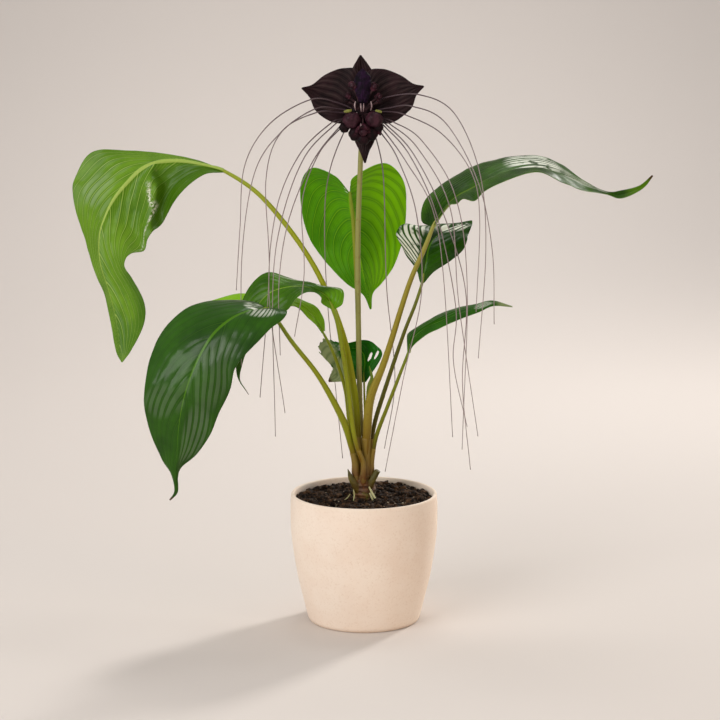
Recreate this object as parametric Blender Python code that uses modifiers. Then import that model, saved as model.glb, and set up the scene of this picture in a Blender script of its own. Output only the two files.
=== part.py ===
"""Potted bat flower: a Tacca with nine leaves, one shoot and one dark bloom, in a plain round pot.

Sizes and places are in millimetres and are turned into metres where a mesh is made. +Z is up, +X is to
the right and -Y is the front, where the bloom faces. The origin is the middle of the pot's foot.
"""
import math

import bmesh
import bpy
from mathutils import Vector, noise

MM = 0.001
GAP = 0.3

# How near two corners of one mesh may be, in metres, and the angle past which an edge is sharp
WELD = 0.00001
JOIN_WELD = 0.0000005
SHARP_ANGLE = math.radians(50)

# The pot: its outer side as radius and height, from the lip down
POT_HEIGHT = 150
LIP_RADIUS = 82.6
POT_SIDE = [(84.3, 146), (85, 134), (84.5, 106), (81.5, 80), (77, 53), (71, 27), (65.8, 6), (64.4, 2)]
FOOT_RADIUS = 62
WALL = 5
FLOOR = 8
POT_STEPS = 36

# The soil fills the pot and has one plain hole, where the rhizome stands. Its lumps have a height and a
# span, and they fade over a collar round the hole.
SOIL_TOP = 142
SOIL_LUMP = 2.6
SOIL_LUMP_SPAN = 14
SOIL_COLLAR = 6
SOIL_RINGS = 6
RHIZOME_RADIUS = 12
RHIZOME_FOOT = 116
RHIZOME_TOP = 176
HOLE_RADIUS = RHIZOME_RADIUS + 2 * GAP

# Each stalk's collar starts inside the rhizome at one height and reaches this far down from the stalk
COLLAR_ROOT = 158
COLLAR_REACH = 12

# Blades: a half arches by a share of its width, and its edge waves a few times along it
BLADE_THICKNESS = 0.8
MIDRIB_THICKNESS = 2.2
STALK_TIP_RADIUS = 1
BASE_HALF_WIDTH = 3
TIP_HALF_WIDTH = 1
BLADE_ARCH = 0.1
EDGE_WAVES = 4
BRACT_RIB = 1.2
BRACT_WAVE = 0.6
BRACT_COLUMNS = 3

# The bloom: three short discs on one axis carry the bracts, the whiskers and the florets. Each has a
# radius, a front and a back. Whiskers and pedicels start inside their disc.
BLOOM_X = -2
BLOOM_Z = 586
RECEPTACLE = (9, 1.5, 11)
WHISKER_COLLAR = (8, -4, RECEPTACLE[1] - GAP)
FLORET_CORE = (7, -9, WHISKER_COLLAR[1] - GAP)
WHISKER_ROOT_RADIUS = 0.7
WHISKER_TIP_RADIUS = 0.5
WHISKER_SINK = 3
PEDICEL_RADIUS = 1.6
PEDICEL_START = 3

# An open floret: how many tepals it has, how deep they are cut and how flat it is
TEPALS = 6
TEPAL_DEPTH = 0.28
FLORET_FLATNESS = 0.6

# Colours as red, green and blue
CREAM = (0.80, 0.62, 0.46)
SOIL_BROWN = (0.030, 0.018, 0.012)
CROWN_BROWN = (0.16, 0.10, 0.035)
STALK_OLIVE = (0.22, 0.20, 0.045)
LEAF_GREEN = (0.045, 0.16, 0.012)
LEAF_DARK = (0.018, 0.085, 0.010)
LEAF_BRIGHT = (0.09, 0.25, 0.008)
BRACT_MAROON = (0.020, 0.008, 0.012)
FLORET_PLUM = (0.035, 0.012, 0.022)
WHISKER_GREY = (0.13, 0.095, 0.10)

# Leaves: the stalk as x, y, z and radius from the crown up, then the blade's ribs as points on its
# midrib, its left edge and its right edge, and its tip
TALL_LEFT = {
    "stalk": [(-5, -1, 188, 3.6), (-7, -3, 225, 4.5), (-11, -3, 270, 4.8), (-26, 6, 340, 4),
              (-60, 26, 415, 3.3), (-115, 46, 485, 3), (-162, 57, 517, 2.2)],
    "ribs": [((-183, 60, 522), (-194, 72, 528), (-183, 50, 513)),
             ((-210, 65, 527), (-228, 88, 533), (-205, 50, 497)),
             ((-236, 68, 526), (-276, 97, 536), (-221, 56, 478)),
             ((-256, 68, 518), (-318, 98, 535), (-234, 60, 455)),
             ((-272, 67, 504), (-338, 94, 506), (-246, 58, 436)),
             ((-289, 65, 484), (-340, 91, 485), (-252, 48, 424)),
             ((-300, 62, 462), (-334, 87, 457), (-269, 34, 423)),
             ((-306, 58, 441), (-327, 84, 433), (-274, 26, 412)),
             ((-305, 52, 411), (-316, 80, 401), (-265, 18, 397)),
             ((-295, 44, 380), (-304, 72, 373), (-252, 14, 368)),
             ((-286, 37, 346), (-296, 58, 342), (-253, 16, 342)),
             ((-282, 31, 314), (-288, 40, 310), (-268, 22, 313))],
    "tip": (-280, 26, 298)}
LOW_LEFT = {
    "stalk": [(-10, -7, 187, 3.4), (-14, -9, 206, 4.1), (-24, -20, 240, 4.4), (-50, -40, 292, 3.2),
              (-80, -56, 335, 2.8), (-104, -62, 371, 2)],
    "ribs": [((-114, -67, 374), (-86, -76, 373), (-124, -46, 379)),
             ((-129, -76, 373), (-88, -88, 367), (-153, -40, 381)),
             ((-148, -85, 365), (-104, -98, 357), (-180, -44, 378)),
             ((-165, -92, 351), (-124, -104, 335), (-202, -52, 369)),
             ((-176, -97, 335), (-141, -104, 313), (-224, -62, 351)),
             ((-185, -100, 318), (-148, -102, 289), (-236, -74, 325)),
             ((-193, -102, 298), (-160, -98, 263), (-242, -84, 294)),
             ((-200, -101, 274), (-170, -93, 238), (-244, -88, 269)),
             ((-205, -98, 246), (-187, -89, 213), (-239, -86, 242)),
             ((-208, -94, 214), (-203, -87, 199), (-226, -84, 210)),
             ((-210, -89, 190), (-207, -87, 188), (-216, -86, 192)),
             ((-210, -86, 171), (-208, -85, 170), (-212, -85, 172))],
    "tip": (-217, -86, 161)}
BACK = {
    "stalk": [(-5, 12, 188, 2.5), (-5, 28, 228, 2.8), (-6, 48, 290, 2.8), (-8, 68, 376, 2.7),
              (-12, 80, 450, 2.5), (-16, 84, 487, 2)],
    "ribs": [((-16, 87, 483), (-34, 74, 509), (-12, 74, 508)),
             ((-15, 92, 472), (-61, 88, 518), (23, 88, 523)),
             ((-13, 97, 460), (-74, 99, 497), (46, 101, 502)),
             ((-10, 102, 444), (-73, 111, 462), (50, 112, 470)),
             ((-8, 105, 426), (-64, 118, 430), (47, 118, 433)),
             ((-4, 106, 407), (-47, 118, 405), (36, 116, 399)),
             ((0, 106, 386), (-21, 112, 378), (22, 111, 379)),
             ((4, 104, 369), (-1, 106, 365), (11, 105, 367))],
    "tip": (8, 99, 349)}
TALL_RIGHT = {
    "stalk": [(2.5, -6, 189, 3.8), (3, -11, 225, 5.5), (7, -14, 264, 5.5), (24, -18, 310, 4.1),
              (50, -26, 395, 3.2), (67, -30, 436, 2.9), (77, -31, 462, 2.2)],
    "ribs": [((82, -30, 471), (65, -10, 466), (86, -38, 476)),
             ((91, -27, 483), (68, 4, 486), (95, -48, 489)),
             ((104, -24, 495), (84, 16, 503), (109, -56, 493)),
             ((121, -20, 504), (107, 26, 515), (125, -60, 496)),
             ((141, -15, 515), (136, 32, 527), (140, -60, 511)),
             ((168, -10, 524), (164, 34, 536), (167, -54, 519)),
             ((198, -6, 525), (194, 32, 536), (195, -46, 522)),
             ((224, -3, 517), (222, 24, 527), (218, -36, 514)),
             ((251, 0, 505), (248, 12, 511), (245, -20, 502)),
             ((275, 3, 496), (274, 6, 498), (274, -1, 494)),
             ((292, 6, 494), (293, 12, 498), (290, -3, 491)),
             ((314, 9, 502), (312, 10, 504), (315, 5, 501))],
    "tip": (327, 11, 515)}
MID_RIGHT = {
    "stalk": [(7.5, 1.5, 188, 2.4), (11, 6, 225, 2.8), (22, 15, 262, 2.8), (45, 33, 328, 2.4),
              (59, 40, 363, 2.2), (67, 42, 388, 1.8)],
    "ribs": [((69, 44, 399), (60, 46, 404), (81, 48, 400)),
             ((72, 48, 413), (47, 40, 423), (100, 54, 412)),
             ((75, 56, 427), (38, 38, 442), (115, 66, 423)),
             ((82, 68, 437), (43, 50, 454), (121, 80, 436)),
             ((95, 84, 445), (64, 76, 452), (125, 94, 444)),
             ((111, 98, 449), (97, 98, 450), (128, 104, 449))],
    "tip": (127, 110, 453)}
LOW_RIGHT = {
    "stalk": [(9, -5, 188, 2.3), (14, -9, 218, 2.6), (26, -14, 252, 2.4), (40, -18, 290, 2.1),
              (50, -20, 317, 1.7)],
    "ribs": [((52, -21, 327), (49, -8, 330), (56, -32, 328)),
             ((56, -23, 335), (50, 2, 336), (64, -39, 336)),
             ((68, -27, 346), (62, 6, 343), (75, -41, 344)),
             ((88, -31, 356), (84, 2, 357), (92, -41, 352)),
             ((109, -35, 365), (108, -8, 367), (112, -43, 361)),
             ((128, -38, 371), (128, -18, 373), (131, -43, 368)),
             ((144, -40, 376), (145, -30, 378), (145, -43, 374))],
    "tip": (166, -42, 373)}
MID_LEFT = {
    "stalk": [(-1, -13.5, 187, 2.4), (-9, -18, 212, 2.8), (-14, -18, 240, 3), (-20, -14, 290, 2.9),
              (-29, -10, 345, 2.7), (-35, -10, 366, 2.2)],
    "ribs": [((-39, -10, 375), (-48, -16, 373), (-24, -14, 373)),
             ((-45, -11, 382), (-48, -22, 381), (-25, -6, 388)),
             ((-55, -12, 388), (-57, -18, 386), (-50, -6, 391)),
             ((-70, -12, 392), (-73, -34, 383), (-63, 8, 395)),
             ((-88, -12, 391), (-86, -33, 370), (-85, 10, 398)),
             ((-107, -10, 384), (-104, -24, 357), (-110, 10, 404)),
             ((-122, -8, 367), (-119, -16, 340), (-131, 6, 390)),
             ((-133, -5, 339), (-132, -10, 322), (-143, 2, 360)),
             ((-141, -2, 308), (-138, -4, 303), (-146, 0, 314)),
             ((-144, 0, 285), (-142, -1, 282), (-146, 1, 289))],
    "tip": (-133, 3, 265)}
SMALL_LEFT = {
    "stalk": [(-11, 5, 188, 2), (-17, 7, 230, 2.2), (-22, 6, 272, 2.2), (-35, 7, 312, 2.1),
              (-47, 8, 336, 1.5)],
    "ribs": [((-53, 9, 346), (-55, 4, 345), (-46, 14, 351)),
             ((-61, 11, 357), (-65, 2, 355), (-54, 20, 362)),
             ((-75, 15, 366), (-81, 4, 367), (-68, 26, 370)),
             ((-106, 21, 371), (-110, 8, 366), (-102, 34, 376)),
             ((-138, 27, 372), (-141, 12, 366), (-140, 40, 376)),
             ((-164, 31, 367), (-165, 20, 363), (-166, 42, 371))],
    "tip": (-184, 35, 365)}
YOUNG = {
    "stalk": [(3, 13, 188, 1.6), (1, 17, 235, 1.5), (0, 18, 276, 1.2)],
    "ribs": [((0, 20, 287), (-14, 26, 282), (10, 14, 289)),
             ((1, 24, 298), (-21, 30, 290), (21, 16, 309)),
             ((-1, 28, 308), (-22, 32, 299), (14, 20, 319)),
             ((-10, 32, 313), (-22, 34, 305), (0, 24, 324)),
             ((-23, 36, 311), (-23, 34, 301), (-25, 34, 319)),
             ((-33, 38, 303), (-24, 32, 290), (-49, 40, 325)),
             ((-33, 39, 291), (-23, 30, 281), (-53, 42, 309)),
             ((-31, 38, 281), (-24, 30, 275), (-38, 40, 293))],
    "tip": (-41, 37, 273)}

# Every leaf with the faces across each half of its blade, the faces along it, how far its edge waves
# and its colour
LEAVES = {
    "leaf_tall_left": (TALL_LEFT, 5, 26, 1.5, LEAF_GREEN),
    "leaf_low_left": (LOW_LEFT, 5, 24, 2.5, LEAF_DARK),
    "leaf_back": (BACK, 5, 18, 2, LEAF_BRIGHT),
    "leaf_tall_right": (TALL_RIGHT, 4, 24, 1.5, LEAF_GREEN),
    "leaf_mid_right": (MID_RIGHT, 4, 16, 2, LEAF_DARK),
    "leaf_low_right": (LOW_RIGHT, 3, 15, 0.5, LEAF_DARK),
    "leaf_mid_left": (MID_LEFT, 4, 20, 2, LEAF_DARK),
    "leaf_small_left": (SMALL_LEFT, 3, 14, 1, LEAF_GREEN),
    "leaf_young": (YOUNG, 3, 16, 2, LEAF_DARK),
}

# The leafless stalks: a shoot with a leaf still rolled up, and the scape that carries the bloom
SHOOT = [(8, 9, 188, 1.7), (4, 10, 235, 2), (6, 8, 270, 3), (9, 6, 283, 2), (6, 6, 297, 0.5)]
SCAPE = [(0, 5.5, 187, 2.9), (-4, 7, 235, 3.1), (-6, 7, 320, 3.1), (-7, 9, 440, 3), (-4, 8, 533, 2.9),
         (BLOOM_X, 6, BLOOM_Z - RECEPTACLE[0] - GAP, 3)]
OLD_SHEATH = [(-6, -5, 150, 3.5), (-13, -9, 164, 3.2), (-18.5, -11, 180, 0.8)]
CUT_SHEATH = [(5, -5, 156, 3.5), (11, -9, 167, 3.4), (16, -10, 177, 3.2)]

# Bracts: the middle of each base, then ribs and a tip as for the leaves
LEFT_WING = {
    "base": (-5, 7, 587),
    "ribs": [((-18, 7, 593), (-19, 4.5, 575), (-5, 14, 630)),
             ((-34, 8, 601), (-36, 3, 576), (-22, 15, 636)),
             ((-50, 7, 608), (-54, 3, 588), (-43, 12, 629)),
             ((-62, 5, 612), (-61, 3, 603), (-58, 7, 618))],
    "tip": (-70, 2, 614)}
RIGHT_WING = {
    "base": (1, 7, 587),
    "ribs": [((15, 7, 593), (2, 14, 629), (16, 4.5, 575)),
             ((31, 8, 601), (20, 16, 635), (33, 3, 576)),
             ((47, 7, 609), (41, 13, 628), (52, 3, 590)),
             ((58, 5, 614), (55, 7, 619), (59, 3, 606))],
    "tip": (67, 2, 616)}
UPPER_BRACT = {
    "base": (-2, 9, 590),
    "ribs": [((-2, 20, 607), (-17, 18, 607), (13, 18, 607)),
             ((-2, 24, 622), (-20, 20, 622), (16, 20, 621)),
             ((-3, 24, 635), (-13, 20, 636), (8, 20, 635))],
    "tip": (-4, 21, 650)}
LOWER_BRACT = {
    "base": (-2, 3, 580),
    "ribs": [((-1, -1, 571), (10, 0, 571), (-11, 0, 571)),
             ((0, -7, 556), (12, -4, 557), (-11, -4, 557)),
             ((1, -9, 544), (6, -8, 544), (-5, -8, 544))],
    "tip": (1, -8, 531)}

# Whiskers: routes from where each leaves the florets, out and down
WHISKERS = [
    [(-30, -2, 598), (-60, -14, 602), (-105, -26, 576), (-133, -28, 530), (-139, -28, 460), (-144, -25, 389)],
    [(-28, -2, 591), (-54, -13, 592), (-92, -24, 567), (-122, -27, 522), (-137, -26, 430), (-139, -26, 303)],
    [(-28, -1, 587), (-53, -17, 588), (-92, -30, 567), (-109, -40, 515), (-106, -46, 410), (-117, -50, 271)],
    [(-24, -1, 580), (-38, -10, 575), (-72, -28, 542), (-98, -40, 480), (-106, -47, 385), (-89, -50, 253)],
    [(-22, -1, 579), (-34, -10, 573), (-67, -28, 538), (-92, -43, 470), (-102, -48, 390), (-100, -50, 226)],
    [(-19, -1, 577), (-28, -8, 571), (-58, -30, 533), (-84, -42, 470), (-95, -48, 400), (-94, -50, 319)],
    [(-17, -1, 575), (-27, -8, 569), (-51, -30, 542), (-69, -40, 490), (-67, -44, 410), (-78, -42, 339)],
    [(-14, 0, 573), (-23, 0, 564), (-39, 8, 520), (-45, 28, 466), (-42, 50, 360), (-25, 50, 179)],
    [(22, -2, 603), (62, -26, 608), (100, -44, 588), (127, -68, 524), (134, -72, 440), (127, -70, 319)],
    [(27, -2, 592), (53, -18, 595), (90, -43, 578), (125, -66, 515), (141, -74, 440), (144, -74, 358)],
    [(25, -1, 588), (47, -18, 585), (86, -42, 566), (118, -62, 525), (127, -70, 475), (124, -70, 371)],
    [(20, -1, 581), (33, -12, 577), (64, -36, 558), (100, -62, 500), (114, -68, 400), (110, -64, 214)],
    [(19, -1, 579), (30, -12, 574), (60, -36, 549), (95, -61, 485), (105, -66, 380), (128, -58, 228)],
    [(18, -1, 577), (27, -11, 572), (55, -36, 543), (88, -60, 478), (113, -61, 390), (110, -59, 290),
     (120, -55, 189)],
    [(16, -1, 576), (25, -9, 570), (51, -32, 541), (80, -56, 478), (102, -57, 375), (100, -55, 312),
     (116, -53, 238)],
    [(14, -1, 574), (23, -7, 566), (47, -34, 534), (76, -52, 483), (89, -53, 400), (100, -48, 225)],
    [(12, -2, 572), (21, -7, 562), (38, -24, 536), (58, -42, 478), (64, -49, 390), (45, -46, 296),
     (24, -34, 182)],
    [(6, -1.5, 575), (12, -5.5, 563), (20, -4, 530), (23, 2, 489), (26, 18, 385), (36, 36, 275), (24, 30, 195)],
]

# Florets: buds as centre and three radii; open ones as centre, radius and the way that each faces
BUDS = [((-14, -14, 580), (8.5, 8, 8)), ((11.5, -14, 581), (8.2, 8, 8)),
        ((-20, -13, 572), (6, 6, 6)), ((14.5, -13, 572), (5.8, 6, 6)),
        ((-2, -12, 612), (7.5, 6, 17))]
OPEN_FLORETS = [((-1, -20, 567), 11, (0, -0.75, -0.66)), ((-15, -9, 617), 5.5, (-0.3, -0.9, 0.2)),
                ((12, -9, 616), 5.5, (0.3, -0.9, 0.2)), ((-19, -10, 604), 4.5, (-0.7, -0.7, 0)),
                ((17, -10, 603), 4.5, (0.7, -0.7, 0)), ((-17, -12, 590), 4.5, (-0.8, -0.6, 0)),
                ((16, -12, 590), 4.5, (0.8, -0.6, 0))]


def material(name, colour, roughness):
    """A plain material with one colour."""
    look = bpy.data.materials.new(name)
    look.use_nodes = True
    shader = look.node_tree.nodes["Principled BSDF"]
    shader.inputs["Base Color"].default_value = (*colour, 1)
    shader.inputs["Roughness"].default_value = roughness
    shader.inputs["Metallic"].default_value = 0
    return look


def to_object(name, shape):
    """Put a finished bmesh in the scene under this name."""
    mesh = bpy.data.meshes.new(name)
    shape.to_mesh(mesh)
    shape.free()
    made = bpy.data.objects.new(name, mesh)
    bpy.context.scene.collection.objects.link(made)
    return made


def settle(made, weld=WELD):
    """Replace an object by a plain mesh of what its curve or modifiers give."""
    graph = bpy.context.evaluated_depsgraph_get()
    mesh = bpy.data.meshes.new_from_object(made.evaluated_get(graph))
    shape = bmesh.new()
    shape.from_mesh(mesh)
    bmesh.ops.remove_doubles(shape, verts=shape.verts, dist=weld)
    name = made.name
    bpy.data.objects.remove(made)
    return to_object(name, shape)


def finish(made, look, home):
    """Give a sub-part its material and its place in the plant's collection."""
    made.data.materials.clear()
    made.data.materials.append(look)
    made.data.shade_smooth()
    made.data.set_sharp_from_angle(angle=SHARP_ANGLE)
    for collection in list(made.users_collection):
        collection.objects.unlink(made)
    home.objects.link(made)


def on_curve(points, spot):
    """The point at a place from 0 to 1 on a smooth curve through these points."""
    spans = len(points) - 1
    place = min(max(spot, 0), 1) * spans
    span = min(int(place), spans - 1)
    t = place - span
    p1 = Vector(points[span])
    p2 = Vector(points[span + 1])
    p0 = Vector(points[span - 1]) if span > 0 else 2 * p1 - p2
    p3 = Vector(points[span + 2]) if span + 2 <= spans else 2 * p2 - p1
    bend = 2 * p0 - 5 * p1 + 4 * p2 - p3
    twist = 3 * p1 - p0 - 3 * p2 + p3
    return 0.5 * (2 * p1 + (p2 - p0) * t + bend * t * t + twist * t ** 3)


def tube(name, route, per_span, sides=8):
    """A tapered round stalk along a smooth route of x, y, z and radius."""
    count = (len(route) - 1) * per_span
    curve = bpy.data.curves.new(name, "CURVE")
    curve.dimensions = "3D"
    curve.bevel_depth = MM
    curve.bevel_resolution = sides // 2 - 2
    curve.use_fill_caps = True
    spline = curve.splines.new("POLY")
    spline.points.add(count)
    for i, point in enumerate(spline.points):
        x, y, z, radius = on_curve(route, i / count)
        point.co = (x * MM, y * MM, z * MM, 1)
        point.radius = radius
    made = bpy.data.objects.new(name, curve)
    bpy.context.scene.collection.objects.link(made)
    return settle(made)


def ball(name, centre, radii, around=8, rings=6):
    """A closed egg shape with three radii."""
    shape = bmesh.new()
    bmesh.ops.create_uvsphere(shape, u_segments=around, v_segments=rings, radius=MM)
    bmesh.ops.scale(shape, vec=radii, verts=shape.verts)
    bmesh.ops.translate(shape, vec=Vector(centre) * MM, verts=shape.verts)
    return to_object(name, shape)


def disc(name, radius, front, back, sides=16):
    """A short cylinder of the bloom, lying along Y, from its front face to its back face."""
    shape = bmesh.new()
    bmesh.ops.create_cone(shape, cap_ends=True, segments=sides, radius1=radius * MM, radius2=radius * MM,
                          depth=(back - front) * MM)
    bmesh.ops.rotate(shape, verts=shape.verts, cent=(0, 0, 0),
                     matrix=Vector((0, 0, 1)).rotation_difference(Vector((0, 1, 0))).to_matrix())
    middle = Vector((BLOOM_X, (front + back) / 2, BLOOM_Z)) * MM
    bmesh.ops.translate(shape, vec=middle, verts=shape.verts)
    bmesh.ops.triangulate(shape, faces=shape.faces)
    return to_object(name, shape)


def fuse(name, pieces):
    """Join closed pieces that run into each other into one body."""
    base = pieces[0]
    base.name = name
    others = bpy.data.collections.new(name + "_pieces")
    bpy.context.scene.collection.children.link(others)
    for piece in pieces[1:]:
        bpy.context.scene.collection.objects.unlink(piece)
        others.objects.link(piece)
    join = base.modifiers.new("Join", "BOOLEAN")
    join.operation = "UNION"
    join.solver = "MANIFOLD"
    join.operand_type = "COLLECTION"
    join.collection = others
    joined = settle(base, JOIN_WELD)
    for piece in list(others.objects):
        bpy.data.objects.remove(piece)
    bpy.data.collections.remove(others)
    return joined


def across(middle, edge, up, arch, u):
    """A point between the midrib and an edge, on a line that arches up between them."""
    crown = (middle + edge) / 2 + up * arch * (edge - middle).length
    return (1 - u) ** 2 * middle + 2 * u * (1 - u) * crown + u * u * edge


def narrow(point, rib, half_width):
    """A rib at the base or the tip: it spreads as its neighbour does, by this much."""
    middle, left, right = [Vector(place) for place in rib]
    point = Vector(point)
    return (point, point + (left - middle).normalized() * half_width,
            point + (right - middle).normalized() * half_width)


def blade(name, base, ribs, tip, columns, rows, wave, rib_thickness=MIDRIB_THICKNESS):
    """A thin blade laid over its ribs: arched halves, a waved edge and a thicker midrib."""
    ribs = [narrow(base, ribs[0], BASE_HALF_WIDTH)] + ribs + [narrow(tip, ribs[-1], TIP_HALF_WIDTH)]
    middles, lefts, rights = zip(*ribs)
    shape = bmesh.new()
    bmesh.ops.create_grid(shape, x_segments=2 * columns, y_segments=rows, size=1)
    weights = shape.verts.layers.deform.verify()
    for vert in shape.verts:
        side = vert.co.x
        s = (vert.co.y + 1) / 2
        u = abs(side)
        middle = on_curve(middles, s)
        left = on_curve(lefts, s)
        right = on_curve(rights, s)
        ahead = on_curve(middles, s + 0.02) - on_curve(middles, s - 0.02)
        up = (right - left).cross(ahead).normalized()
        ripple = wave * math.sin(2 * math.pi * EDGE_WAVES * s + side) * math.sin(math.pi * s) * u * u
        edge = left if side < 0 else right
        vert.co = (across(middle, edge, up, BLADE_ARCH, u) + up * ripple) * MM
        vert[weights][0] = max(0, 1 - 2 * u) * (1 - 0.7 * s)
    bmesh.ops.triangulate(shape, faces=shape.faces)
    made = to_object(name, shape)
    group = made.vertex_groups.new(name="midrib")
    wall = made.modifiers.new("Wall", "SOLIDIFY")
    wall.thickness = rib_thickness * MM
    wall.offset = 0
    wall.vertex_group = group.name
    wall.thickness_vertex_group = BLADE_THICKNESS / rib_thickness
    return settle(made)


def turned(name, profile, steps):
    """A turned solid: the profile starts on the axis, runs down its outside and ends on the axis."""
    shape = bmesh.new()
    last = None
    for radius, height in profile:
        vert = shape.verts.new((radius * MM, 0, height * MM))
        if last:
            shape.edges.new((last, vert))
        last = vert
    made = to_object(name, shape)
    turn = made.modifiers.new("Turn", "SCREW")
    turn.steps = steps
    turn.render_steps = steps
    turn.use_merge_vertices = True
    turn.merge_threshold = 0.0001
    return settle(made)


def pot_inside():
    """The pot's inner side from its floor up to the lip, one wall inside the outer side."""
    wall = [(radius - WALL, height) for radius, height in POT_SIDE if height > FLOOR]
    return [(wall[-1][0] - WALL, FLOOR)] + wall[::-1]


def pot():
    """The plain pot, with a rounded lip and a closed floor."""
    outside = [(LIP_RADIUS, POT_HEIGHT)] + POT_SIDE + [(FOOT_RADIUS, 0), (0, 0)]
    return turned("pot", [(0, FLOOR)] + pot_inside() + outside, POT_STEPS)


def soil():
    """The fill of potting soil, with a lumpy top and a hole for the rhizome."""
    wall = [(radius - 2 * GAP, height + GAP) for radius, height in pot_inside()]
    side = [point for point in wall if point[1] < SOIL_TOP][::-1]
    reach = side[0][0]
    top = [(HOLE_RADIUS + (reach - HOLE_RADIUS) * i / SOIL_RINGS, SOIL_TOP) for i in range(SOIL_RINGS + 1)]
    hole = [(0, RHIZOME_FOOT - GAP), (HOLE_RADIUS, RHIZOME_FOOT - GAP)]
    made = turned("soil", hole + top + side + [(0, side[-1][1])], POT_STEPS)
    for vert in made.data.vertices:
        radius = vert.co.xy.length / MM
        if vert.co.z > (SOIL_TOP - 0.5) * MM and radius < reach - 1:
            rise = min(1, (radius - HOLE_RADIUS) / SOIL_COLLAR + 0.2)
            vert.co.z += SOIL_LUMP * MM * noise.noise(vert.co / MM / SOIL_LUMP_SPAN) * rise
    return made


def crown(stalks):
    """The rhizome with a sheathing foot for every stalk, and two sheaths left from old leaves."""
    profile = [(0, RHIZOME_TOP), (8, RHIZOME_TOP - 1), (11.5, 166), (13, 154), (12.4, 146),
               (RHIZOME_RADIUS, 142), (RHIZOME_RADIUS, RHIZOME_FOOT), (0, RHIZOME_FOOT)]
    pieces = [turned("crown", profile, 18)]
    for route in stalks:
        foot = Vector(route[0][:3])
        ahead = (on_curve(route, 0.1).to_3d() - foot).normalized()
        seat = foot - ahead * GAP
        radius = route[0][3]
        root = (foot.x / 2, foot.y / 2, COLLAR_ROOT, radius * 1.3)
        collar = [root, (*(seat - ahead * COLLAR_REACH), radius * 1.2), (*seat, radius)]
        pieces.append(tube("collar", collar, 1))
    pieces.append(tube("old_sheath", OLD_SHEATH, 2))
    pieces.append(tube("cut_sheath", CUT_SHEATH, 2))
    return fuse("crown", pieces)


def leaf(name, parts, columns, rows, wave):
    """A leaf: its stalk, which runs on under the blade as far as the first rib, and its blade."""
    stalk = parts["stalk"]
    first = parts["ribs"][0][0]
    pieces = [blade(name, stalk[-1][:3], parts["ribs"], parts["tip"], columns, rows, wave),
              tube(name + "_stalk", stalk + [(*first, STALK_TIP_RADIUS)], 2)]
    return fuse(name, pieces)


def bracts():
    """The receptacle with the two wings, the upright bract behind and the pointed one below."""
    pieces = [disc("bracts", *RECEPTACLE)]
    for parts in (LEFT_WING, RIGHT_WING, UPPER_BRACT, LOWER_BRACT):
        rows = 2 * len(parts["ribs"]) + 3
        pieces.append(blade("bract", parts["base"], parts["ribs"], parts["tip"], BRACT_COLUMNS, rows,
                            BRACT_WAVE, BRACT_RIB))
    return fuse("bracts", pieces)


def open_floret(name, centre, radius, facing):
    """A small flower of six pointed tepals round a hollow middle, turned to face one way."""
    shape = bmesh.new()
    bmesh.ops.create_uvsphere(shape, u_segments=2 * TEPALS, v_segments=5, radius=MM)
    for vert in shape.verts:
        lobe = 1 + TEPAL_DEPTH * math.cos(TEPALS * math.atan2(vert.co.y, vert.co.x))
        spread = vert.co.xy.length / MM
        hollow = spread if vert.co.z > 0 else 1
        flat = FLORET_FLATNESS * hollow
        vert.co = (vert.co.x * radius * lobe, vert.co.y * radius * lobe, vert.co.z * radius * flat)
    turn = Vector((0, 0, 1)).rotation_difference(Vector(facing)).to_matrix()
    bmesh.ops.rotate(shape, verts=shape.verts, cent=(0, 0, 0), matrix=turn)
    bmesh.ops.translate(shape, vec=Vector(centre) * MM, verts=shape.verts)
    return to_object(name, shape)


def pedicel(centre):
    """The short stalk from the umbel's core to one floret."""
    root = Vector((BLOOM_X, (FLORET_CORE[1] + FLORET_CORE[2]) / 2, BLOOM_Z))
    end = Vector(centre)
    start = root + (end - root).normalized() * PEDICEL_START
    route = [(*start, PEDICEL_RADIUS), (*end, PEDICEL_RADIUS)]
    return tube("pedicel", route, 1, sides=6)


def florets():
    """The umbel: round buds and open florets on short stalks, on one core."""
    pieces = [disc("florets", *FLORET_CORE, sides=12)]
    for centre, radii in BUDS:
        pieces.append(ball("bud", centre, radii))
        pieces.append(pedicel(centre))
    for centre, radius, facing in OPEN_FLORETS:
        pieces.append(open_floret("open_floret", centre, radius, facing))
        pieces.append(pedicel(centre))
    return fuse("florets", pieces)


def whiskers():
    """The long thin whiskers, with their roots sunk in the collar."""
    radius, front, back = WHISKER_COLLAR
    pieces = [disc("whiskers", radius, front, back)]
    hub = Vector((BLOOM_X, (front + back) / 2, BLOOM_Z))
    for points in WHISKERS:
        root = hub + (Vector(points[0]) - hub).normalized() * (radius - WHISKER_SINK)
        route = [root] + [Vector(point) for point in points]
        step = (WHISKER_TIP_RADIUS - WHISKER_ROOT_RADIUS) / len(points)
        route = [(*point, WHISKER_ROOT_RADIUS + step * i) for i, point in enumerate(route)]
        pieces.append(tube("whisker", route, 2, sides=4))
    return fuse("whiskers", pieces)


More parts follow.
